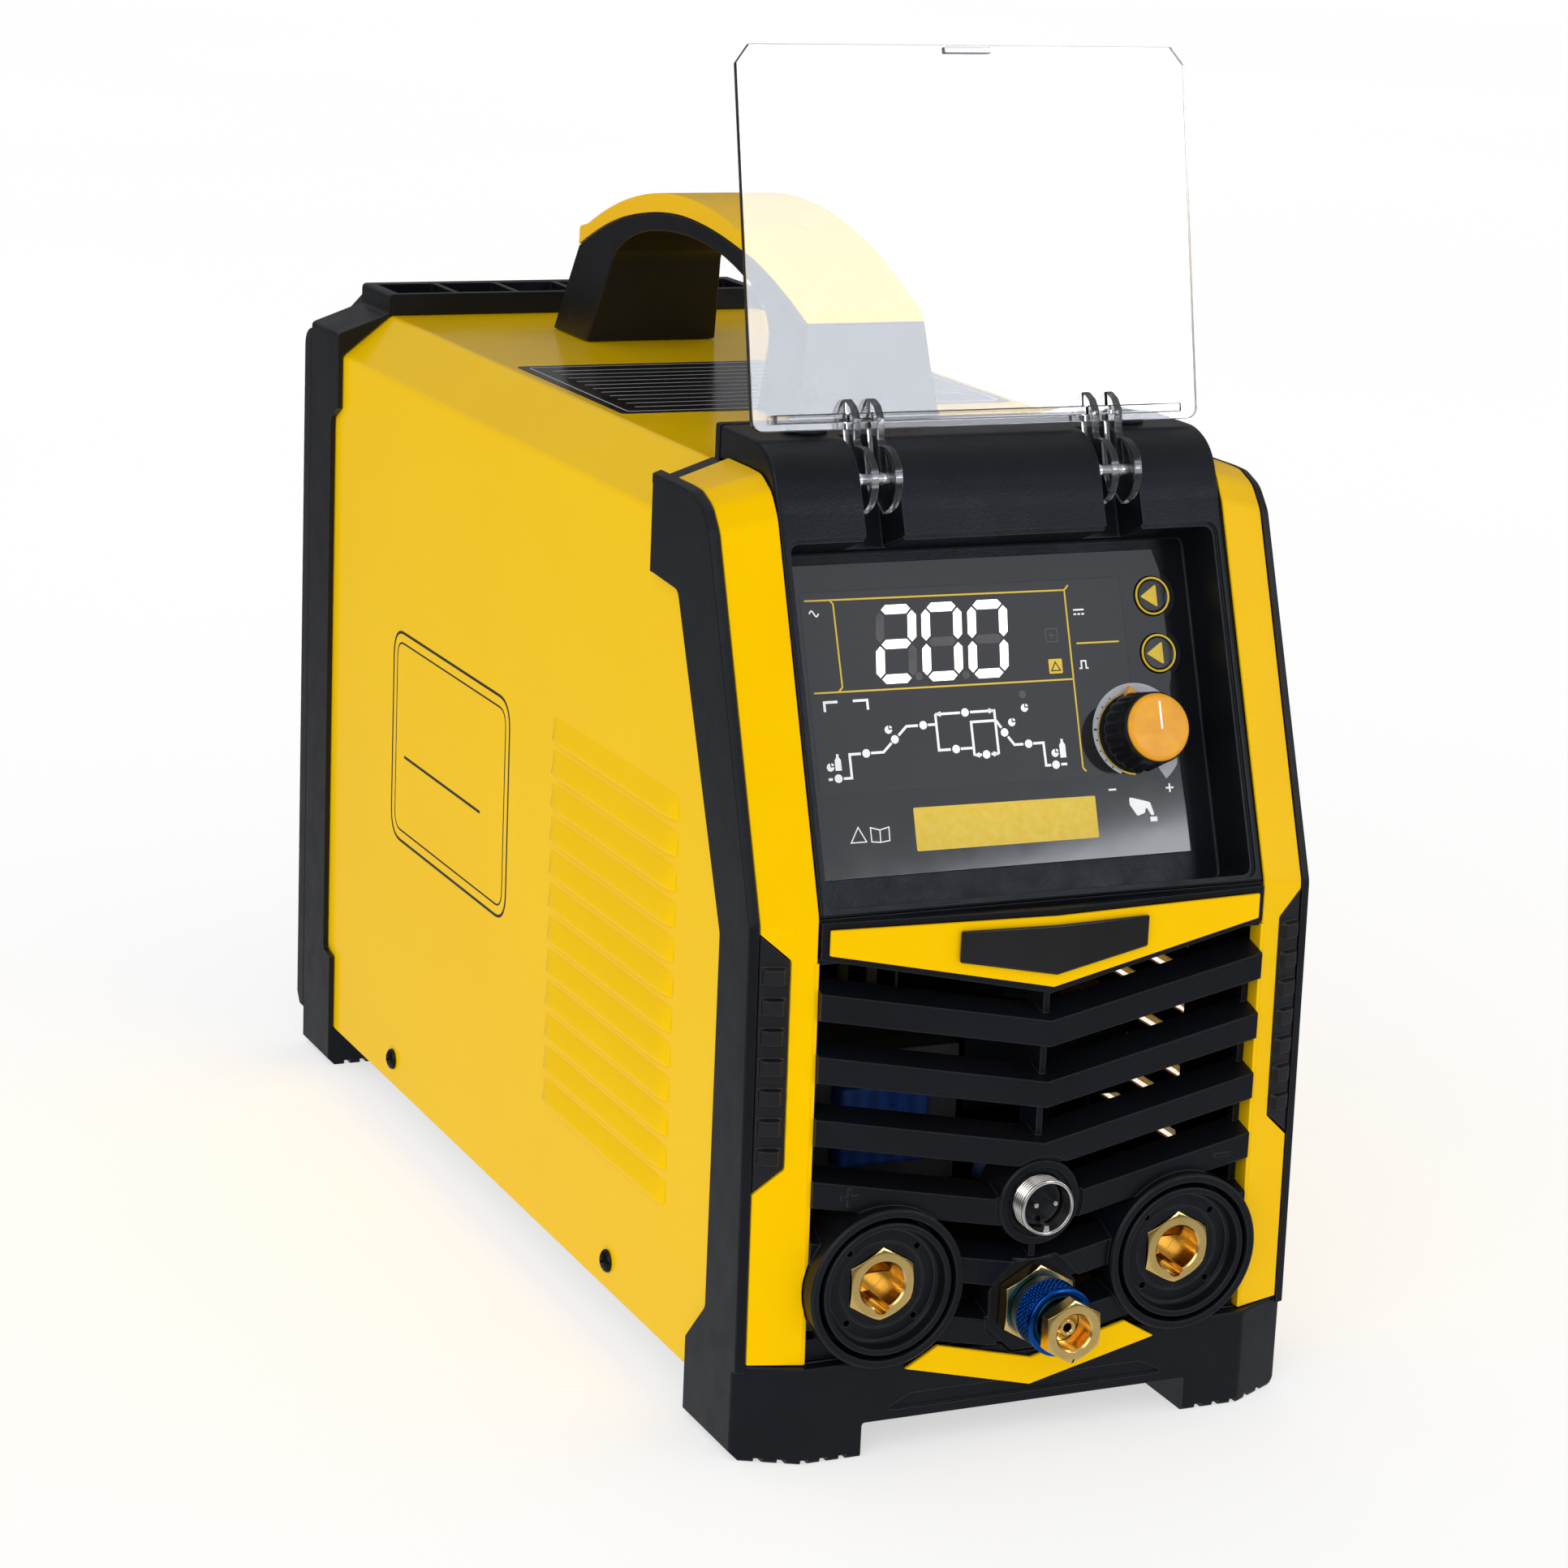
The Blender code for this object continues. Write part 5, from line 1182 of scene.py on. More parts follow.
def make_knob():
    centre, flutes = (KNOB_X, KNOB_HEIGHT), 20

    def fluted(radius, height, angle):
        if radius < 9.95 or height > -6.2:
            return radius
        share = min(1.0, (-6.2 - height) / 1.6)
        return radius - 0.42 * share * (0.5 + 0.5 * cos(flutes * angle)) ** 3

    front, bore = -KNOB_FRONT, 3.2
    skirt = [(0, front - 0.9), (9.15, front - 0.9), (9.5, front - 0.8), (9.85, front - 1.2), (10.0, -6.0)]
    skirt += [(10.15 + 0.08 * i, -7.0 - 0.7 * i) for i in range(10)]
    skirt += [(KNOB_RADIUS, -14.1), (KNOB_RADIUS - 0.3, -14.6), (bore, -14.6), (bore, -4.3), (0, -4.3)]
    skin(lathe(skirt, centre, SLOPE, steps=240, shape=fluted), "control_knob")
    cap = [
        (0, front + 0.55), (7.9, front + 0.55), (8.7, front + 0.42), (9.15, front + 0.1), (9.3, front - 0.3)
    ]
    cap += [(9.3, front - 0.6), (0, front - 0.6)]
    skin(lathe(cap, centre, SLOPE), "knob_cap")
    mark = prism(
        fillet([(41.35, 51.4), (41.95, 51.4), (41.95, 43.8), (41.35, 43.8)], 0.25, 3), front + 0.5,
        front + 0.62, SLOPE
    )
    show(mark, "knob_cap_line", "white_ink", "knob")
    pointer = [(39.7, 57.6), (42.9, 53.6), (37.3, 53.2)]
    show(
        prism(fillet(pointer, 0.4, 3), -15.6, -14.2, SLOPE, edge=0.3), "knob_pointer", "amber_plastic",
        "knob"
    )
    arm = prism([(38.4, 54.2), (42.2, 54.4), (41.9, 51.5), (39.6, 51.5)], -15.4, -14.65, SLOPE, edge=0.2)
    show(arm, "knob_pointer_arm", "black_plastic", "knob")


# --------------------------------------------------------------- clear cover


def make_clear_cover():
    half, length = COVER_HALF, COVER_LENGTH
    outline = arc((half - 3, 3), 3, -90, 0, 6) + [(half, length - 5.0), (half - 4.0, length)]
    outline += [(-half + 4.0, length), (-half, length - 5.0)] + arc((-half + 3, 3), 3, 180, 270, 6)
    cover = prism(outline, -COVER_THICK / 2, COVER_THICK / 2, COVER, edge=0.25)
    lip = box((-half + 6, 1.9, 0.5), (half - 6, 4.3, 3.0), COVER, edge=0.35)
    tab = box((-7, length - 2.5, 0.5), (7, length - 0.6, 2.6), COVER, edge=0.4)
    join(cover, lip, tab)
    centre = (HINGE_Y, HINGE_Z)
    for side in (-1, 1):
        for edge in (-1, 1):
            middle = side * SLOT_X + edge * EAR_OFFSET
            low, high = middle - EAR_THICK / 2, middle + EAR_THICK / 2
            foot = [
                (46.9, 247.6), (52.6, 250.6), (54.9, 254.5), (57.2, 262.0), (60.6, 273.0), (60.2, 277.1),
                (55.5, 275.3), (53.0, 272.5), (52.4, 266.6)
            ]
            ear = arc(centre, EAR_RADIUS, 75, 235, 28) + fillet(foot, 2.0, 4, closed=False)
            hole = disc(centre, PIN_RADIUS + GAP, low - 1, high + 1, SIDE, 32)
            join(cover, cut(prism(ear, low, high, SIDE, edge=0.3), hole))
    mesh = cover.data
    skin(cover, "clear_cover", sharp=30.0).visible_shadow = False
    # Edge faces take the greyer copy of the clear material: painted shade along the cover's edges.
    mesh.materials.append(MATERIALS["clear_shaded_edge"])
    across = Vector((0, -cos(COVER_LEAN), sin(COVER_LEAN)))
    for face in mesh.polygons:
        on_plate = face.area > 400 * MM * MM or abs(face.normal.dot(across)) > 0.999
        on_ear = abs(face.normal.x) > 0.999 and face.center.z < (COVER_FOOT[1] + 8) * MM
        face.material_index = 0 if on_plate or on_ear else 1


def make_hinge_fittings():
    for side, name in SIDES:
        x = side * SLOT_X
        radius = PIN_RADIUS
        pin = [(0, -6.8), (radius - 0.3, -6.8), (radius, -6.5), (radius, 6.5), (radius - 0.3, 6.8), (0, 6.8)]
        place = axes((0, 1, 0), (0, 0, 1), (1, 0, 0), (x, HINGE_Y, HINGE_Z))
        skin(lathe(pin, (0, 0), place, 32), f"hinge_pin_{name}")
        pad = [
            (0, 269.0), (3.2, 269.0), (3.6, 269.4), (5.4, 269.4), (6.0, 269.1), (6.2, 268.4), (6.2, 267.1),
            (0, 267.1)
        ]
        skin(lathe(pad, (side * 48.0, 67.2), TOP, 48), f"cover_bumper_{name}")


# --------------------------------------------------------------------- grille


def nose(x):
    """How far back the front face is at x: its plan is a shallow V."""
    return GRILLE_NOSE_Y + (GRILLE_SIDE_Y - GRILLE_NOSE_Y) * abs(x) / HOUSING_HALF


def make_slat(top):
    section = [(0, 0), (9, 2.5), (9, 0.3), (2.2, -1.8), (2.2, -SLAT_FACE), (0, -SLAT_FACE)]
    section = fillet(section, 0.45, 3, only=(0, 1, 4, 5))
    sections = []
    for x, fall in ((-66.0, 0.0), (0.0, SLAT_DROP), (66.0, 0.0)):
        sections.append([(x, nose(x) + y, top - fall + z) for y, z in section])
    return loft(sections)


def band(stations, back, thick, edge=0.3, segments=2):
    """A plate that follows the grille's shallow V. Stations are (x, low z, high z)."""
    sections = []
    for x, low, high in stations:
        y = nose(x) + back
        sections.append([(x, y, low), (x, y + thick, low), (x, y + thick, high), (x, y, high)])
    return loft(sections, edge=edge, segments=segments)


def socket_ring(side):
    """A raised ring round a socket, open through its middle."""
    radius, bore, front = RING_RADIUS, RING_BORE, RING_FRONT
    profile = [
        (radius - 0.5, front), (radius, front - 0.5), (radius, -12.0), (15.6, -12.0), (15.6, -8.0),
        (bore, -8.0)
    ]
    profile += [(bore, front - 0.6), (bore + 0.2, front - 0.15), (bore + 0.5, front)]
    return lathe(profile, (side * SOCKET_X, SOCKET_Z), FRONT, closed=True)


def sign_mark(x, z, upright):
    """A small raised + or - on a slat's face, as a solid."""
    front = -nose(x)
    bars = [box((x - 2.6, z - 0.55, front - 0.6), (x + 2.6, z + 0.55, front + 0.35), FRONT, edge=0.12)]
    if upright:
        bars.append(
            box((x - 0.55, z - 2.6, front - 0.6), (x + 0.55, z + 2.6, front + 0.35), FRONT, edge=0.12)
        )
    return bars


def make_grille():
    grille = band(((-66.0, 139.6, 149.6), (0, 126.2, 149.6), (66.0, 139.6, 149.6)), 1.4, 3.0)
    join(grille, *[box((side * 65 - 0.9, 8.2, 28.2), (side * 65 + 1.0, 10.9, 131.0)) for side in (-1, 1)])
    join(grille, *[make_slat(top) for top in SLAT_TOPS])
    join(grille, box((-0.9, 1.6, 30.0), (0.9, 11.0, 129.0)), box((-65.5, 4.2, 27.0), (65.5, 7.2, 34.0)))
    cut(grille, box((-70, -10, 0), (70, 20, FOOT_TOP + 2 * GAP)))
    for side in (-1, 1):
        centre = (side * SOCKET_X, SOCKET_Z)
        cut(grille, disc(centre, RING_RADIUS - 0.4, -11.4, 12.0))
        join(grille, socket_ring(side))
    plug, coupler = (0, PLUG_Z), (0, COUPLER_Z - 1)
    boss = [
        (0, 0.4), (9.2, 0.4), (9.5, 0.9), (9.9, 1.5), (11.7, 1.5), (12.1, 1.1), (12.1, -12.2), (0, -12.2)
    ]
    base = disc(coupler, 14.3, -12.1, 0.2, sides=8, turn=pi / 8, edge=0.6)
    cut(grille, disc(plug, 13.2, 0.6, 12.0), disc(coupler, 15.6, 0.0, 12.0, sides=8, turn=pi / 8))
    join(grille, lathe(boss, plug), base)
    cut(grille, disc(plug, 8.2, -20.0, 10.0), disc((0, COUPLER_Z), 6.3, -20.0, 10.0))
    join(grille, *sign_mark(-55.6, 74.0, True), *sign_mark(57.4, 74.0, False))
    skin(grille, "front_grille")
    lining = [(-66.0, 4.9), (66.0, 4.9), (66.0, 5.9), (-66.0, 5.9)]
    show(prism(lining, 138.0, 150.2, TOP), "grille_lining", "black_plastic", "case")


def make_badges():
    wide = ((-64.0, 141.0, 147.9), (0, 128.3, 147.9), (64.0, 141.0, 147.9))
    skin(band(wide, 0.0, 1.4 - GAP, 0.35), "upper_chevron")
    plate = band(((-28.0, 137.2, 145.8), (0, 132.0, 145.8), (28.0, 137.2, 145.8)), -1.4, 1.4 - GAP, 1.0, 4)
    skin(plate, "badge_plate", "gloss")
    outline = mirrored([(0, 15.1), (38.0, 24.4), (28.5, 30.0), (0, 23.0)])
    skin(prism(outline, GAP, 1.7, FRONT, edge=0.4), "lower_chevron")


# --------------------------------------------------------------- connections


def make_socket(side, name):
    centre = (side * SOCKET_X, SOCKET_Z)
    rim, bed = RING_FRONT, SOCKET_FLOOR
    profile = [
        (18.4, rim), (18.7, rim - 0.3), (18.7, -5.2), (19.6, -5.2), (19.6, -7.7), (15.2, -7.7),
        (15.2, -38.0)
    ]
    profile += [(11.3, -38.0), (11.3, -7.7), (8.0, -7.7), (8.0, bed), (11.6, bed), (11.8, bed - 0.35)]
    profile += [(12.1, bed - 0.35), (12.3, bed), (15.4, bed), (16.2, bed + 0.5), (16.6, bed + 1.4)]
    profile += [(16.8, rim - 0.5), (17.0, rim - 0.15), (17.3, rim)]
    insulator = lathe(profile, centre, closed=True)
    for i in range(4):
        angle = pi / 4 + i * pi / 2
        spot = (centre[0] + 14.0 * cos(angle), centre[1] + 14.0 * sin(angle))
        cut(insulator, disc(spot, 0.95, -4.0, 2.0, sides=24))
    cut(insulator, disc(centre, 10.9, -10.0, 2.0, sides=6, turn=pi / 6))
    skin(insulator, f"socket_insulator_{name}")
    brass_hex = disc(centre, 10.6, -9.0, -0.3, sides=6, turn=pi / 6)
    cone = lathe([(0, -0.3), (8.9, -0.3), (11.4, -1.75), (11.4, -10.0), (0, -10.0)], centre)
    combine(brass_hex, [cone], "INTERSECT")
    body = [(0, -8.0), (10.9, -8.0), (10.9, -43.5), (10.4, -44.0), (0, -44.0)]
    join(brass_hex, lathe(body, centre))
    bore = [(0, 5.0), (6.9, 5.0), (6.9, -0.3), (6.4, -0.8), (6.4, -34.0), (0, -34.0)]
    keyway = prism(circle((centre[0], centre[1] - 6.2), 2.1, 32), -34.1, 5.0, FRONT)
    cut(brass_hex, lathe(bore, centre), keyway)
    stop = [(0, -13.0), (6.45, -13.0), (6.45, -14.0), (0, -14.0)]
    ledge = lathe(stop, centre)
    half = box((centre[0] - 7, centre[1] - 1.4, -20), (centre[0] + 7, centre[1] + 8, -6), FRONT)
    join(brass_hex, cut(ledge, half, disc((centre[0], centre[1] + 1.5), 3.3, -20, -6)))
    skin(brass_hex, f"socket_contact_{name}")


def make_control_connector():
    centre, pitch = (0, PLUG_Z), 1.0

    def threaded(radius, height, angle):
        if radius < 7.5 or not -0.3 < height < 5.9:
            return radius
        phase = (height / pitch + angle / (2 * pi)) % 1.0
        return radius - 0.42 * (1 - abs(2 * phase - 1))

    outer = [(7.65, 6.3), (7.88, 6.05)] + [
        (7.9, 5.9 - i * pitch / 10) for i in range(63)
    ] + [(7.9, -1.0), (7.9, -24.0)]
    shell = lathe(
        outer + [(6.8, -24.0), (6.8, 6.0), (7.0, 6.3)], centre, steps=96, closed=True, shape=threaded
    )
    skin(tidy(shell, 0.0), "connector_shell", sharp=60.0)
    insert = lathe([(0, 0.7), (5.6, 0.7), (5.9, 1.0), (6.5, 0.8), (6.5, -22.0), (0, -22.0)], centre)
    cut(insert, disc((0, PLUG_Z - 4.9), 0.9, -1.0, 3.0, sides=24))
    skin(insert, "connector_insert", "black_plastic")
    pins = []
    for x in (-2.9, 2.9):
        pins.append(
            lathe([(0, 5.2), (0.6, 5.15), (0.95, 4.6), (0.95, 0.5), (0, 0.5)], (x, PLUG_Z + 0.6), steps=32)
        )
    pins.append(prism([(-1.0, 60.7), (1.0, 60.7), (0.7, 62.4), (-0.7, 62.4)], 0.6, 6.1, FRONT, edge=0.15))
    show(merge(pins), "connector_pins", "nickel", "case")


def chamfered_hex(centre, radius, low, high, cap):
    """A hexagon along the front axis whose corners are turned off at its outer end."""
    nut = disc(centre, radius, low, high, sides=6, turn=pi / 6)
    cone = lathe(
        [
            (0, high), (cap, high), (radius + 0.5, high - (radius + 0.5 - cap) * 0.55),
            (radius + 0.5, low - 1), (0, low - 1)
        ],
        centre
    )
    return combine(nut, [cone], "INTERSECT")


def make_gas_coupler():
    centre = (0, COUPLER_Z)
    body = lathe(
        [
            (5.6, 17.1), (5.3, 17.4), (2.9, 17.4), (2.6, 17.1), (2.6, -26.0), (4.4, -26.0), (6.0, -22.0),
            (6.0, 1.0), (7.6, 1.0), (7.6, 5.0), (5.6, 5.0)
        ],
        centre, closed=True
    )
    nut = chamfered_hex(centre, 11.6, 0.6, 4.95, 10.2)
    cut(nut, disc(centre, 5.0, -2, 9))
    skin(join(body, nut), "coupler_body")

    starts, low, high = 40, 9.6, 15.9

    def knurled(radius, height, angle):
        if radius < 9.55 or not low < height < high:
            return radius
        rise = (height - low) * 0.62
        one, two = (starts * (angle / (2 * pi)) + rise) % 1.0, (starts * (angle / (2 * pi)) - rise) % 1.0
        ridge = max(abs(2 * one - 1), abs(2 * two - 1))
        fade = min(1.0, (height - low) / 0.4, (high - height) / 0.4)
        return radius - 0.55 * (1 - ridge) * fade * 1.6

    rows = 26
    outer = [(8.4, 17.6), (9.3, 17.5), (9.7, 17.1), (9.7, 16.3), (9.45, 16.1), (9.45, 15.95)]
    outer += [(9.7, high - (high - low) * i / rows) for i in range(rows + 1)]
    outer += [
        (9.45, 9.5), (9.2, 9.0), (9.2, 6.1), (8.8, 5.6), (8.4, 5.4), (5.9, 5.4), (5.9, 14.0), (7.0, 14.0),
        (7.0, 17.3), (7.3, 17.6)
    ]
    sleeve = lathe(outer, centre, steps=480, closed=True, shape=knurled)
    skin(tidy(sleeve, 0.0), "coupler_sleeve", sharp=60.0)
    nipple = chamfered_hex(centre, 9.0, 20.8, 25.0, 7.45)
    join(nipple, lathe([(0, 21.0), (6.6, 21.0), (6.6, 18.0), (6.3, 17.7), (0, 17.7)], centre))
    bore = [(0, 30.0), (5.5, 30.0), (5.5, 25.0), (5.0, 24.5), (5.0, 17.0), (0, 17.0)]
    cut(nipple, lathe(bore, centre))
    skin(nipple, "coupler_nipple")
    inner = [(2.5, 20.9), (2.2, 21.2), (1.5, 21.2), (1.2, 20.9), (1.2, 17.2), (2.5, 17.2)]
    show(lathe(inner, centre, closed=True), "coupler_inner_tube", "brass", "case")


# ----------------------------------------------------- sheet cover and base


def sheet_section(inset):
    """The sheet cover's outline with rounded bends, open at the bottom."""
    half, top = SHEET_HALF - inset, SHEET_TOP - inset
    right = [(half, SHEET_BOTTOM), (half, SHEET_SHOULDER - inset * 0.3), (SHEET_FLAT - inset * 0.5, top)]
    return fillet([(-x, z) for x, z in right] + right[::-1], 2.6 - inset, 6, closed=False)


def louvre_hood(side, z):
    """A hood pressed out over a slot: it swells smoothly out of the sheet and opens downwards."""
    solid, hollow = [], []
    steps = 14
    for i in range(steps + 1):
        share = (1 - cos(pi * i / steps)) / 2
        y = LOUVRE_FRONT + (LOUVRE_BACK - LOUVRE_FRONT) * share
        rise = min(1.0, (y - LOUVRE_FRONT) / 9.0, (LOUVRE_BACK - y) / 9.0)
        out = 0.15 + 1.7 * sqrt(max(0.0, 1 - (1 - rise) ** 2))
        far = SHEET_HALF + out
        points = [
            (SHEET_HALF - 0.6, z + 1.4), (SHEET_HALF + 0.03, z + 0.8), (SHEET_HALF + out * 0.30, z - 1.0)
        ]
        points += [
            (SHEET_HALF + out * 0.72, z - 3.2), (far - 0.05, z - 5.2), (far, z - 5.9), (far - 0.15, z - 6.2)
        ]
        points.append((SHEET_HALF - 0.6, z - 6.2))
        solid.append([(side * x, y, height) for x, height in points])
    for y, out in (
        (LOUVRE_FRONT + 4, 0.2), (LOUVRE_FRONT + 10, 1.1), (LOUVRE_BACK - 10, 1.1), (LOUVRE_BACK - 4, 0.2)
    ):
        far = SHEET_HALF + out
        points = [(80.0, z - 2.9), (81.4, z - 2.9), (far, z - 5.6), (far, z - 6.9), (80.0, z - 6.9)]
        hollow.append([(side * x, y, height) for x, height in points])
    return loft(solid), loft(hollow)


def make_sheet_cover():
    ring = sheet_section(0.0) + sheet_section(SHEET)[::-1]
    cover = prism(ring, -373.0, -18.0, FRONT)
    front = [(-10, -10), (18.5, -10), (18.5, 148), (62, 241), (71, 251), (71, 300), (-10, 300)]
    cut(cover, prism(front, -90, 90, SIDE))
    for side in (-1, 1):
        hoods, hollows = zip(
            *[louvre_hood(side, LOUVRE_TOP - i * LOUVRE_PITCH) for i in range(LOUVRE_COUNT)]
        )
        join(cover, *hoods)
        cut(cover, *hollows)
    cut(cover, *[disc((y, SCREW_Z), 2.3, -90, 90, SIDE, 24) for y in SCREW_Y])
    skin(cover, "sheet_cover", sharp=32.0)
    # Painted shade: the inner faces and the roof's underside take black plastic, for the dark inside of the
    # case seen through the louvres.
    cover.data.materials.append(MATERIALS["black_plastic"])
    inner_side, inner_top = (SHEET_HALF - SHEET + 0.1) * MM, (SHEET_TOP - SHEET + 0.1) * MM
    for face in cover.data.polygons:
        middle, facing = face.center, face.normal
        within = abs(middle.x) < inner_side and middle.z < inner_top
        inside = within and facing.x * middle.x + facing.z * 0.02 < 0
        roof = middle.z > 200 * MM and facing.z < -0.3
        face.material_index = 1 if inside or roof else 0


def make_side_print(side):
    """Two plain rounded outlines and a rule on the sheet's side, without any lettering."""
    level = SHEET_HALF - 0.02
    place = axes((0, -side, 0), (0, 0, 1), (side, 0, 0), (0, 0, 0))
    shapes = []
    for inset, width in ((0.0, 0.9), (3.4, 0.55)):
        low, high = (193.0 + inset, 97.0 + inset), (299.0 - inset, 165.0 - inset)
        outline = fillet([(-side * y, z) for y, z in rectangle(low, high)], 9.0 - inset, 8)
        shapes.append(line(outline, width, place, level, closed=True))
    shapes.append(line([(-side * 217.0, 125.1), (-side * 287.5, 125.1)], 0.9, place, level))
    name = "left" if side < 0 else "right"
    show(merge(shapes), f"side_print_{name}", "black_ink", "case")


def make_top_label():
    """A dark data label without any text: a frame and plain rules."""
    low, high = (-62.5, 160.5), (62.5, 247.0)
    level = SHEET_TOP
    plate = prism(fillet(rectangle(low, high), 2.0, 5), level - 0.05, level + 0.2, TOP, edge=0.08)
    show(plate, "top_label", "gloss", "case")
    shapes = []
    corners = rectangle((low[0] + 3, low[1] + 3), (high[0] - 3, high[1] - 3))
    shapes.append(line(fillet(corners, 1.5, 4), 0.5, TOP, level + 0.19, 0.05, closed=True))
    for i in range(11):
        y = low[1] + 10.0 + 6.6 * i
        end = high[0] - (8.0 if i % 3 else 30.0)
        shapes.append(line([(low[0] + 8.0, y), (end, y)], 0.45, TOP, level + 0.19, 0.05))
    show(merge(shapes), "top_label_rules", "grey_ink", "case")


def make_cover_screws():
    profile = [
        (0, 83.95), (1.2, 83.95), (2.2, 83.7), (3.0, 83.2), (3.35, 82.7), (3.4, 82.3), (1.7, 82.3),
        (1.7, 76.0), (0, 76.0)
    ]
    for side, name in SIDES:
        place = axes((0, side, 0), (0, 0, 1), (side, 0, 0), (0, 0, 0))
        for y, end in zip(SCREW_Y, ("front", "rear")):
            screw = lathe(profile, (side * y, SCREW_Z), place, 48)
            slots = []
            for turn in (0.4, 0.4 + pi / 2):
                bar = turned_spots(rectangle((-1.7, -0.32), (1.7, 0.32)), turn, (side * y, SCREW_Z))
                slots.append(prism(bar, 82.9, 90.0, place))
            skin(cut(screw, *slots), f"cover_screw_{name}_{end}", "black_oxide")


# --------------------------------------------------------------------- rear


def make_rear_frame():
    half = fillet(
        [(0, 0), (HALF_WIDTH, 0), (HALF_WIDTH, 250.8), (66.8, 257.0), (66.8, REAR_TOP), (0, REAR_TOP)], 1.6,
        3, closed=False
    )
    body = prism(
        half[:-1] + [(0, REAR_TOP)] + [(-x, z) for x, z in half[::-1] if x > 0], -REAR_FACE, -REAR_FRONT,
        FRONT, edge=0.9
    )
    cavity = mirrored([(82.3, 12.6), (82.3, 243.9), (66.0, 256.8)])
    window = mirrored([(76, 16), (76, 240), (62, 249)])
    cut(body, prism(cavity, -375.0, -340.0, FRONT), prism(window, -400.0, -370.0, FRONT))
    pockets = []
    for i in range(6):
        x = -63.0 + i * 21.2
        pockets.append(box((x, 357.2, 258.4), (x + 19.4, 378.5, 272), edge=0.6))
    side_cut = fillet([(340, 36), (362, 40), (362, 222), (352, 228), (340, 228)], 2.0, 3, only=(1, 2))
    cut(body, *pockets, prism(side_cut, -90, 90, SIDE))
    cut(body, *sole_cutters(340, 400), prism([(386, -5), (400, -5), (400, 12)], -90, 90, SIDE))
    skin(body, "rear_frame")


def make_rear_bumper():
    low, high = REAR_FACE + GAP, REAR_BACK - 2.0
    bumper = prism([(-80, 243), (80, 243), (62, 262), (-62, 262)], -high, -low, FRONT, edge=0.8)
    gap = [(-90, 200), (90, 200), (74, 240), (60, 252), (-60, 252), (-74, 240)]
    cut(bumper, prism(gap, -400, -380, FRONT))
    for side in (-1, 1):
        profile = fillet([(low, 12), (388.0, 12), (REAR_BACK, 16)], 1.5, 3, closed=False)
        profile += arc((384.5, 242.0), 6.5, 0, 90, 12) + [(low, 248.5)]
        near, far = sorted((side * 77.5, side * 83.9))
        pad = prism(profile, near, far, SIDE, edge=0.9, segments=3)
        grooves = [
            box((min(near, far) - 2, REAR_BACK - 0.9, z), (max(near, far) + 2, REAR_BACK + 2, z + 1.4))
            for z in range(30, 235, 9)
        ]
        join(bumper, cut(pad, *grooves))
    skin(bumper, "rear_bumper")


def about_fan(turn, back=0.0):
    """The rear frame turned about the fan's axis and moved towards the front."""
    centre = Matrix.Translation((0, FAN_Z * MM, -back * MM))
    return REAR @ centre @ Matrix.Rotation(turn, 4, "Z")


def make_rear_panel():
    edge = fillet(mirrored([(75.7, 16.3), (75.7, 239.8), (61.8, 248.7)]), 1.5, 3)
    panel = prism(edge, -2.0, 0.0, REAR, edge=0.25)
    cut(panel, disc((0, FAN_Z), FAN_RADIUS - 1, -10, 10, REAR, 96))
    guard = []
    for radius in (14.0, 28.0, 42.0):
        rim = [(radius, -0.7), (radius - 0.5, -0.2), (radius - 1.9, -0.2), (radius - 2.4, -0.7)]
        rim += [(radius - 2.4, -1.3), (radius - 1.9, -1.8), (radius - 0.5, -1.8), (radius, -1.3)]
        guard.append(lathe(rim, (0, FAN_Z), REAR, closed=True))
    for i in range(4):
        place = about_fan(pi / 4 + i * pi / 2)
        guard.append(box((-FAN_RADIUS - 2, -1.4, -1.9), (-12.6, 1.4, -0.1), place, edge=0.4))
    join(panel, *guard)
    cut(panel, box((21.8, 56.8, -10), (48.2, 79.2, 10), REAR), disc((-35, 68), 9.3, -10, 10, REAR))
    cut(panel, disc((35, 36), 6.6, -10, 10, REAR))
    skin(panel, "rear_panel")


def make_fan():
    corners = fillet(rectangle((-60, FAN_Z - 60), (60, FAN_Z + 60)), 4.0, 5)
    housing = prism(corners, -27.3, -2.3, REAR, edge=0.8)
    cut(housing, disc((0, FAN_Z), FAN_RADIUS, -40, 5, REAR, 96))
    for x, z in ((-52.5, -52.5), (-52.5, 52.5), (52.5, -52.5), (52.5, 52.5)):
        cut(housing, disc((x, FAN_Z + z), 2.1, -40, 5, REAR, 24))
    for i in range(4):
        join(housing, box((14, -2, -27.0), (59, 2, -24.5), about_fan(pi / 4 + i * pi / 2), edge=0.5))
    mount = [(0, -27.1), (18.4, -27.1), (19.0, -26.5), (19.0, -24.0), (0, -24.0)]
    skin(join(housing, lathe(mount, (0, FAN_Z), REAR)), "fan_housing")
    hub = lathe(
        [(0, -5.0), (17.5, -5.0), (19.3, -5.6), (20.0, -7.2), (20.0, -23.0), (0, -23.0)], (0, FAN_Z), REAR
    )
    blades = []
    for i in range(7):
        sections = []
        for k in range(9):
            radius = 16 + (54.3 - 16) * k / 8
            pitch, chord = radians(50 - 2.2 * k), 8.4 + 0.32 * k
            section = []
            for u, w in (
                (-1, 0), (-0.5, 0.75), (0.1, 1.0), (0.65, 0.65), (1, 0), (0.65, -0.1), (0.1, 0.05),
                (-0.5, -0.05)
            ):
                v, lift = chord * u, 1.05 * w + 1.4 * (1 - u * u)
                section.append(
                    (radius, v * cos(pitch) - lift * sin(pitch), v * sin(pitch) + lift * cos(pitch) - 0.7)
                )
            sections.append(section)
        blades.append(loft(sections, about_fan(2 * pi * i / 7, 13.5)))
    skin(join(hub, *blades), "fan_rotor", "black_plastic")


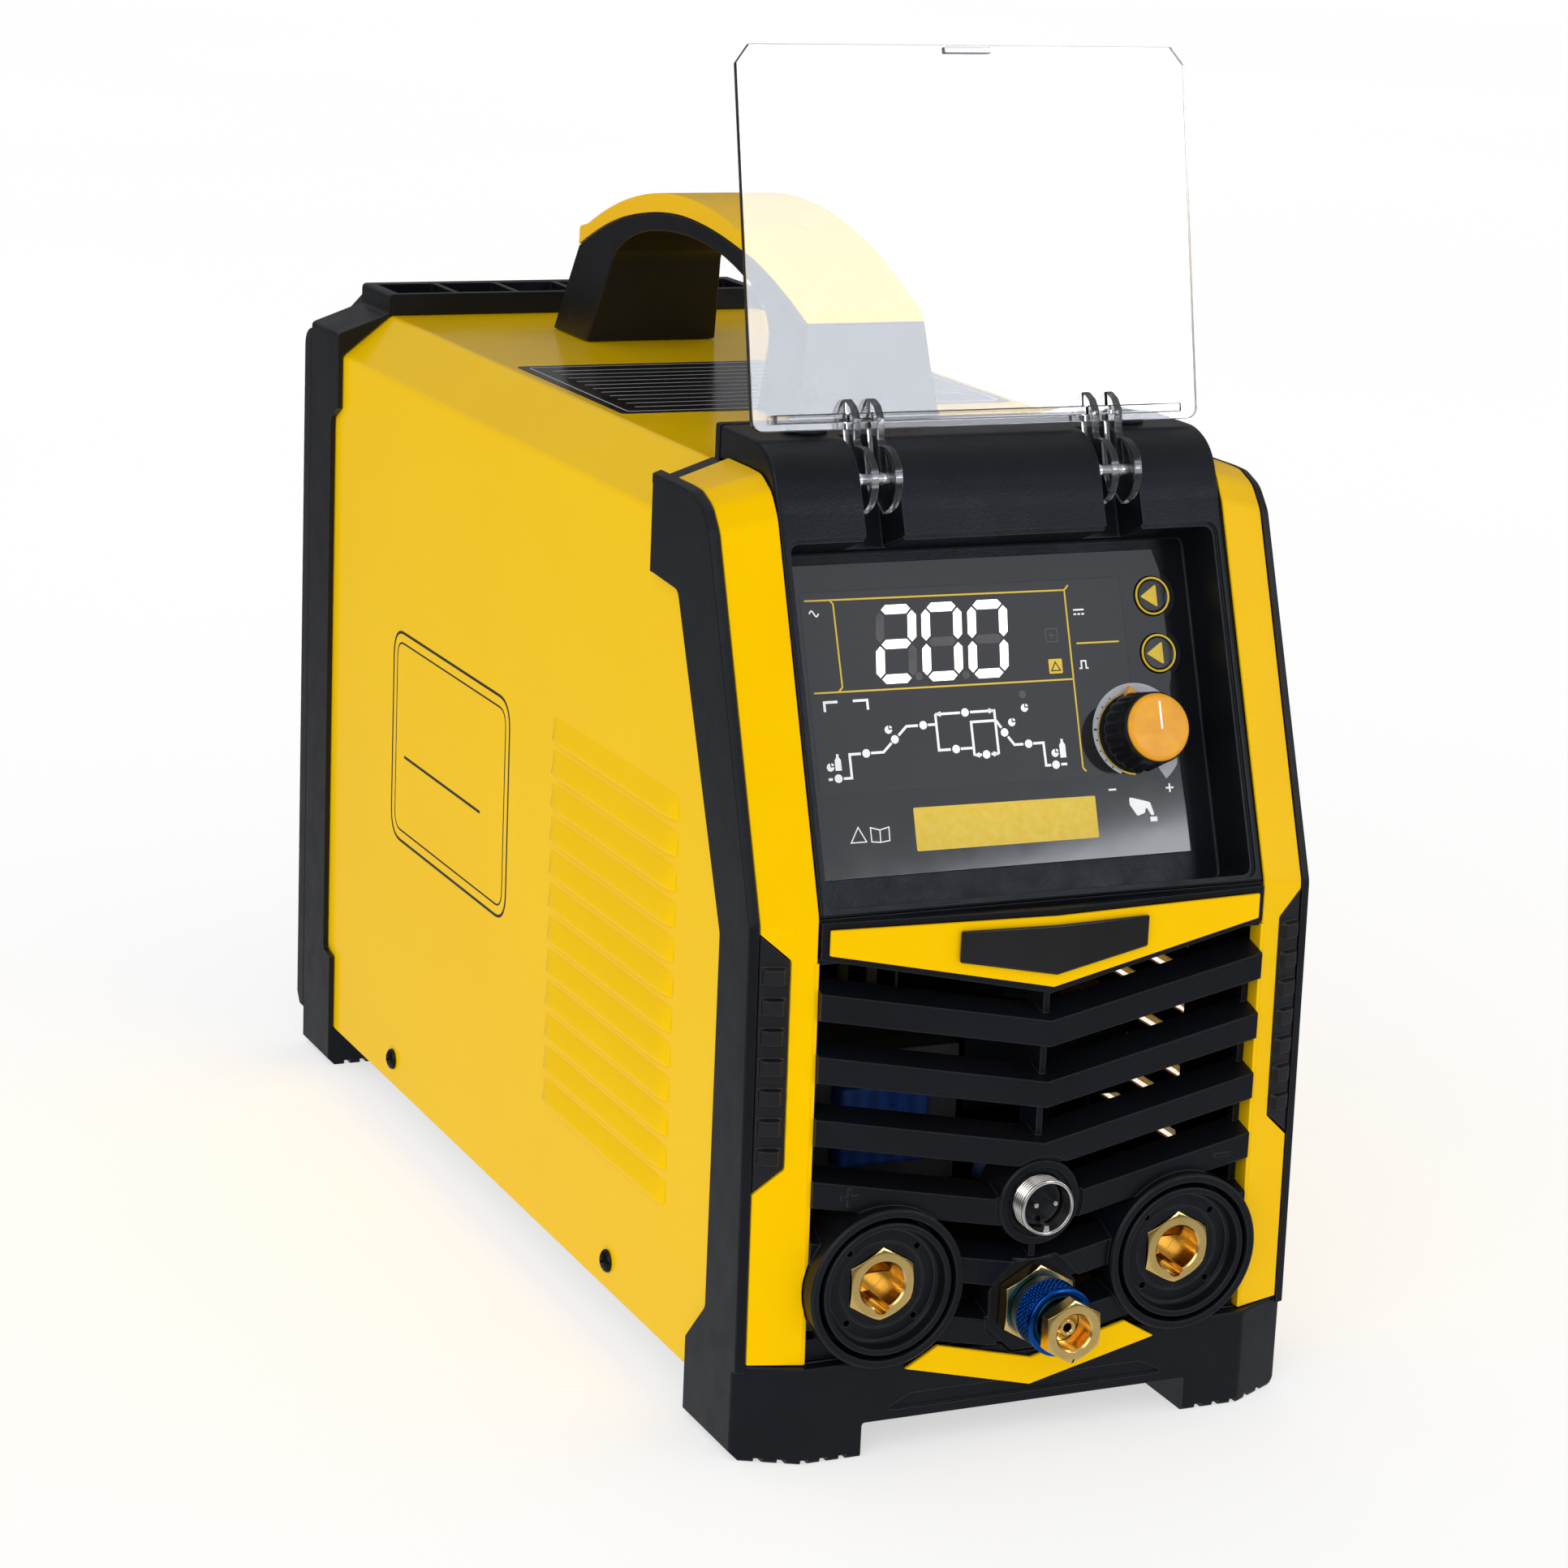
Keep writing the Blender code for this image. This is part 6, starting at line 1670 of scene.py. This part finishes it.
def make_power_switch():
    body = box((22.1, 57.1, -22.0), (47.9, 78.9, 1.4), REAR)
    join(body, box((19.5, 54.5, 0.3), (50.5, 81.5, 2.2), REAR, edge=0.8, segments=3))
    cut(body, box((24.5, 59.0, -9.0), (45.5, 77.0, 10.0), REAR, edge=0.5))
    skin(body, "switch_body")
    rocker = spline([(61.0, 3.0), (64.5, 1.7), (68.0, 1.4), (71.5, 2.6), (75.0, 5.2)], 4)
    rocker += [(75.0, 0.0), (68.0, -7.6), (61.0, -2.4)]
    tilt = axes((0, 0, 1), (0, 1, 0), (-1, 0, 0), (0, PANEL_FACE, 0))
    skin(prism(rocker, 25.0, 45.0, tilt, edge=0.4), "switch_rocker", "gloss")


def hexagonal(least, across, low=-1e3, high=1e3):
    """A lathe shape that flattens radii over least to a hexagon between two heights."""

    def flats(radius, height, angle):
        if radius < least or not low < height < high:
            return radius
        return min(radius, across / cos((angle + pi / 6) % (pi / 3) - pi / 6))

    return flats


def make_rear_fittings():
    gland = [
        (9.0, 13.0), (10.0, 12.6), (10.8, 11.7), (12.0, 7.2), (12.4, 6.9), (12.4, 0.7), (12.1, 0.3),
        (8.9, 0.3)
    ]
    gland += [(8.9, -12.0), (5.0, -12.0), (5.0, 12.2), (5.6, 13.0)]
    skin(lathe(gland, (-35, 68), REAR, closed=True, shape=hexagonal(12.0, 11.0, 0.2, 7.0)), "mains_gland")
    inlet = [
        (3.0, 24.0), (4.6, 20.5), (3.7, 20.0), (4.6, 15.5), (3.7, 15.0), (4.6, 10.5), (3.7, 10.0),
        (9.0, 9.6)
    ]
    inlet += [(9.0, 0.3), (6.2, 0.3), (6.2, -22.0), (2.3, -22.0), (2.3, 23.6)]
    skin(lathe(inlet, (35, 36), REAR, closed=True, shape=hexagonal(8.1, 7.8)), "gas_inlet")


# ------------------------------------------------------------------- handle


def crown(y):
    return HANDLE_CROWN - HANDLE_FALL * (y - HANDLE_MIDDLE) ** 2


def make_handle():
    seat = SHEET_TOP + GAP
    boundary = [
        (309.8, 285.0), (298.0, 290.0), (284.0, 295.0), (268.0, 299.2), (246.0, 302.8), (224.2, 304.2)
    ]
    boundary += [(2 * HANDLE_MIDDLE - y - 8.2 * (y - 224.2) / 85.6 * 0.72, z) for y, z in boundary[-2::-1]]
    curve = spline(boundary, 4)
    under = [
        (279.7, 286.0), (268.0, 292.2), (250.0, 296.8), (224.2, 298.8), (200.0, 297.4), (180.0, 293.0),
        (166.0, 287.5), (157.0, 279.0)
    ]
    arch = fillet([(291.5, seat)] + under + [(157.5, seat)], 9.0, 5, closed=False, only=(1, 8))
    arch = [arch[0]] + spline(arch[1:-1], 3) + [arch[-1]]
    outline = [(321.0, seat)] + curve + [(127.5, seat)] + arch[::-1]
    body = prism(outline, -HANDLE_HALF, HANDLE_HALF, SIDE, edge=1.3, segments=3)
    for vertex in body.data.vertices:
        vertex.co.x *= 1 + 0.2 * max(0.0, (285.0 - vertex.co.z / MM) / 28.4)
    skin(body, "handle_body")
    top = spline([(y, crown(y)) for y in (306.0, 290.0, 270.0, 247.0, 224.2, 201.0, 178.0, 158.0, 142.0)], 3)
    top = [(curve[0][0] - 0.4, curve[0][1] + 6.0)] + top[1:] + [(curve[-1][0] + 2.5, 288.5)]
    low = [(y, z + 0.35) for y, z in curve[::-1]]
    cap = prism(fillet(top + low, 1.2, 3, only=(0, len(top) - 1)), -HANDLE_HALF, HANDLE_HALF, SIDE)
    work = bmesh.new()
    work.from_mesh(cap.data)

    def upper(a, b):
        return all(p.z > (crown(p.y / MM + FRONT_TO_ORIGIN) - 1.5) * MM for p in (a, b))

    round_edges(work, 4.2 * MM, 5, 40.0, where=upper)
    work.to_mesh(cap.data)
    work.free()
    skin(cap, "handle_cap")


# ---------------------------------------------------------------- internals


def make_internals():
    """The inner pieces show as CAD made them, with their own finish and rounded edges."""
    for name, width in (
        ("display_board", 0.2), ("encoder_body", 0.3), ("encoder_plunger", 0.2), ("encoder_shaft", 0.0),
        ("base_tray", 0.3), ("heat_sink", 0.3), ("power_board", 0.2), ("bus_capacitor_left", 0.4),
        ("bus_capacitor_right", 0.4), ("transformer_core", 0.8), ("transformer_winding", 1.2),
        ("output_choke", 1.2), ("gas_valve", 0.6), ("gas_hose", 0.0), ("arc_starter", 0.8),
    ):
        dress(name, width)


# ------------------------------------------------------ camera, floor, lights


def aim(obj, place, target, roll=0.0):
    obj.location = place
    obj.rotation_mode = "QUATERNION"
    obj.rotation_quaternion = (
        Vector(target) - Vector(place)
    ).to_track_quat("-Z", "Y") @ Matrix.Rotation(roll, 3, "Z").to_quaternion()


def make_camera():
    camera = placed("camera", bpy.data.cameras.new("camera"))
    camera.data.sensor_width = 36.0
    camera.data.lens = 94.13
    camera.data.clip_start, camera.data.clip_end = 0.05, 60.0
    yaw, pitch, roll = radians(24.644), radians(14.465), radians(2.458)
    forward = Vector((sin(yaw) * cos(pitch), cos(yaw) * cos(pitch), -sin(pitch)))
    level = Vector((cos(yaw), -sin(yaw), 0.0))
    upright = level.cross(forward)
    right = level * cos(roll) + upright * sin(roll)
    up = upright * cos(roll) - level * sin(roll)
    matrix = Matrix((right, up, -forward)).transposed().to_4x4()
    matrix.translation = Vector((-0.50037, -1.10578, 0.44869))
    camera.matrix_world = matrix
    bpy.context.scene.camera = camera


def area_light(name, place, target, size, power, color=(1.0, 1.0, 1.0), glossy_only=False):
    light = bpy.data.lights.new(name, "AREA")
    light.shape = "RECTANGLE"
    light.size, light.size_y = size
    light.energy = power
    light.color = color
    obj = placed(name, light)
    aim(obj, place, target)
    if glossy_only:
        obj.visible_diffuse = False
    obj.visible_camera = False
    return obj


def make_world():
    """Soft light that is strongest from the sides, and for gloss a dark studio over a white floor."""
    world = bpy.data.worlds.new("studio")
    bpy.context.scene.world = world
    world.use_nodes = True
    tree = world.node_tree
    shown = tree.nodes["Background"]
    shown.inputs["Color"].default_value = (1.0, 1.0, 1.0, 1.0)
    place = add_node(tree, "ShaderNodeTexCoord").outputs["Generated"]
    height = add_node(tree, "ShaderNodeSeparateXYZ")
    tree.links.new(place, height.inputs["Vector"])

    def ramp(low, high, start, end):
        values = {"From Min": low, "From Max": high, "To Min": start, "To Max": end}
        made = add_node(tree, "ShaderNodeMapRange", values)
        tree.links.new(height.outputs["Z"], made.inputs["Value"])
        return made.outputs["Result"]

    gloss = add_node(tree, "ShaderNodeMath", operation="MAXIMUM")
    tree.links.new(ramp(-0.45, -0.15, 0.55, 0.12), gloss.inputs[0])
    tree.links.new(ramp(0.0, 0.9, 0.12, 0.50), gloss.inputs[1])
    path = add_node(tree, "ShaderNodeLightPath")
    choice = add_node(tree, "ShaderNodeMix")
    tree.links.new(path.outputs["Is Glossy Ray"], choice.inputs["Factor"])
    tree.links.new(ramp(0.0, 1.0, 1.06, 0.36), choice.inputs["A"])
    tree.links.new(gloss.outputs[0], choice.inputs["B"])
    tree.links.new(choice.outputs["Result"], shown.inputs["Strength"])


def make_floor():
    reach = 30.0
    mesh = bpy.data.meshes.new("floor")
    mesh.from_pydata(
        [(x, y, 0.0) for x, y in rectangle((-reach, -reach), (reach, reach))], [], [(0, 1, 2, 3)]
    )
    ground = placed("floor", mesh)
    paper = Finish("floor", 0.0)
    drift = paper.remap(paper.noise(0.8, 2.0), 0.3, 0.7, 0.0, 1.0)
    paper.color(paper.mix(drift, (0.59, 0.59, 0.59), (0.61, 0.61, 0.61)))
    glow = {"Emission Color": (1.0, 1.0, 1.0, 1.0), "Emission Strength": 0.58, "Specular IOR Level": 0.0}
    mesh.materials.append(paper.done(Roughness=1.0, **glow))
    ground.visible_glossy = False


def make_lights():
    middle = (0.0, 0.0, 0.15)
    sun = bpy.data.lights.new("sun", "SUN")
    sun.energy = 0.65
    sun.angle = radians(50.0)
    lamp = placed("sun", sun)
    aim(lamp, (-0.80, -0.90, 0.70), (0.0, 0.0, 0.0))
    area_light("left softbox", (-1.7, -0.9, 1.0), middle, (0.4, 1.6), 1.2, glossy_only=True)
    area_light("right softbox", (1.9, -0.9, 1.0), middle, (0.5, 1.6), 5.0, glossy_only=True)
    area_light("top softbox", (0.1, 0.2, 1.9), middle, (0.5, 1.6), 3.0, glossy_only=True)
    veil = Vector((0.45, -0.855, 0.252))
    cover = Vector((0.0, (COVER_FOOT[0] - FRONT_TO_ORIGIN + 10.0) * MM, (COVER_FOOT[1] + 50.0) * MM))
    area_light(
        "cover softbox", cover + veil * 4.0, cover, (0.80, 0.56), 12.0, (0.90, 0.94, 1.0), glossy_only=True
    )
    panel = (0.0, -0.16, 0.21)
    area_light(
        "panel softbox", (2.025, -3.752, 1.99), panel, (1.1, 0.8), 3.0, (0.86, 0.91, 1.0), glossy_only=True
    )


def make_stage():
    make_world()
    make_floor()
    make_lights()
    bpy.context.scene.view_settings.view_transform = "Standard"


def main():
    make_camera()
    make_front_frame()
    for side, name in SIDES:
        make_trim_strip(side, name)
        make_grip_pad(side, name)
        make_socket(side, name)
        make_side_print(side)
    make_display_housing()
    make_overlay()
    print_yellow()
    print_white()
    print_dial()
    print_digits()
    make_buttons()
    make_knob()
    make_clear_cover()
    make_hinge_fittings()
    make_grille()
    make_badges()
    make_control_connector()
    make_gas_coupler()
    make_sheet_cover()
    make_top_label()
    make_cover_screws()
    make_rear_frame()
    make_rear_bumper()
    make_rear_panel()
    make_fan()
    make_power_switch()
    make_rear_fittings()
    make_handle()
    make_internals()
    make_stage()


main()
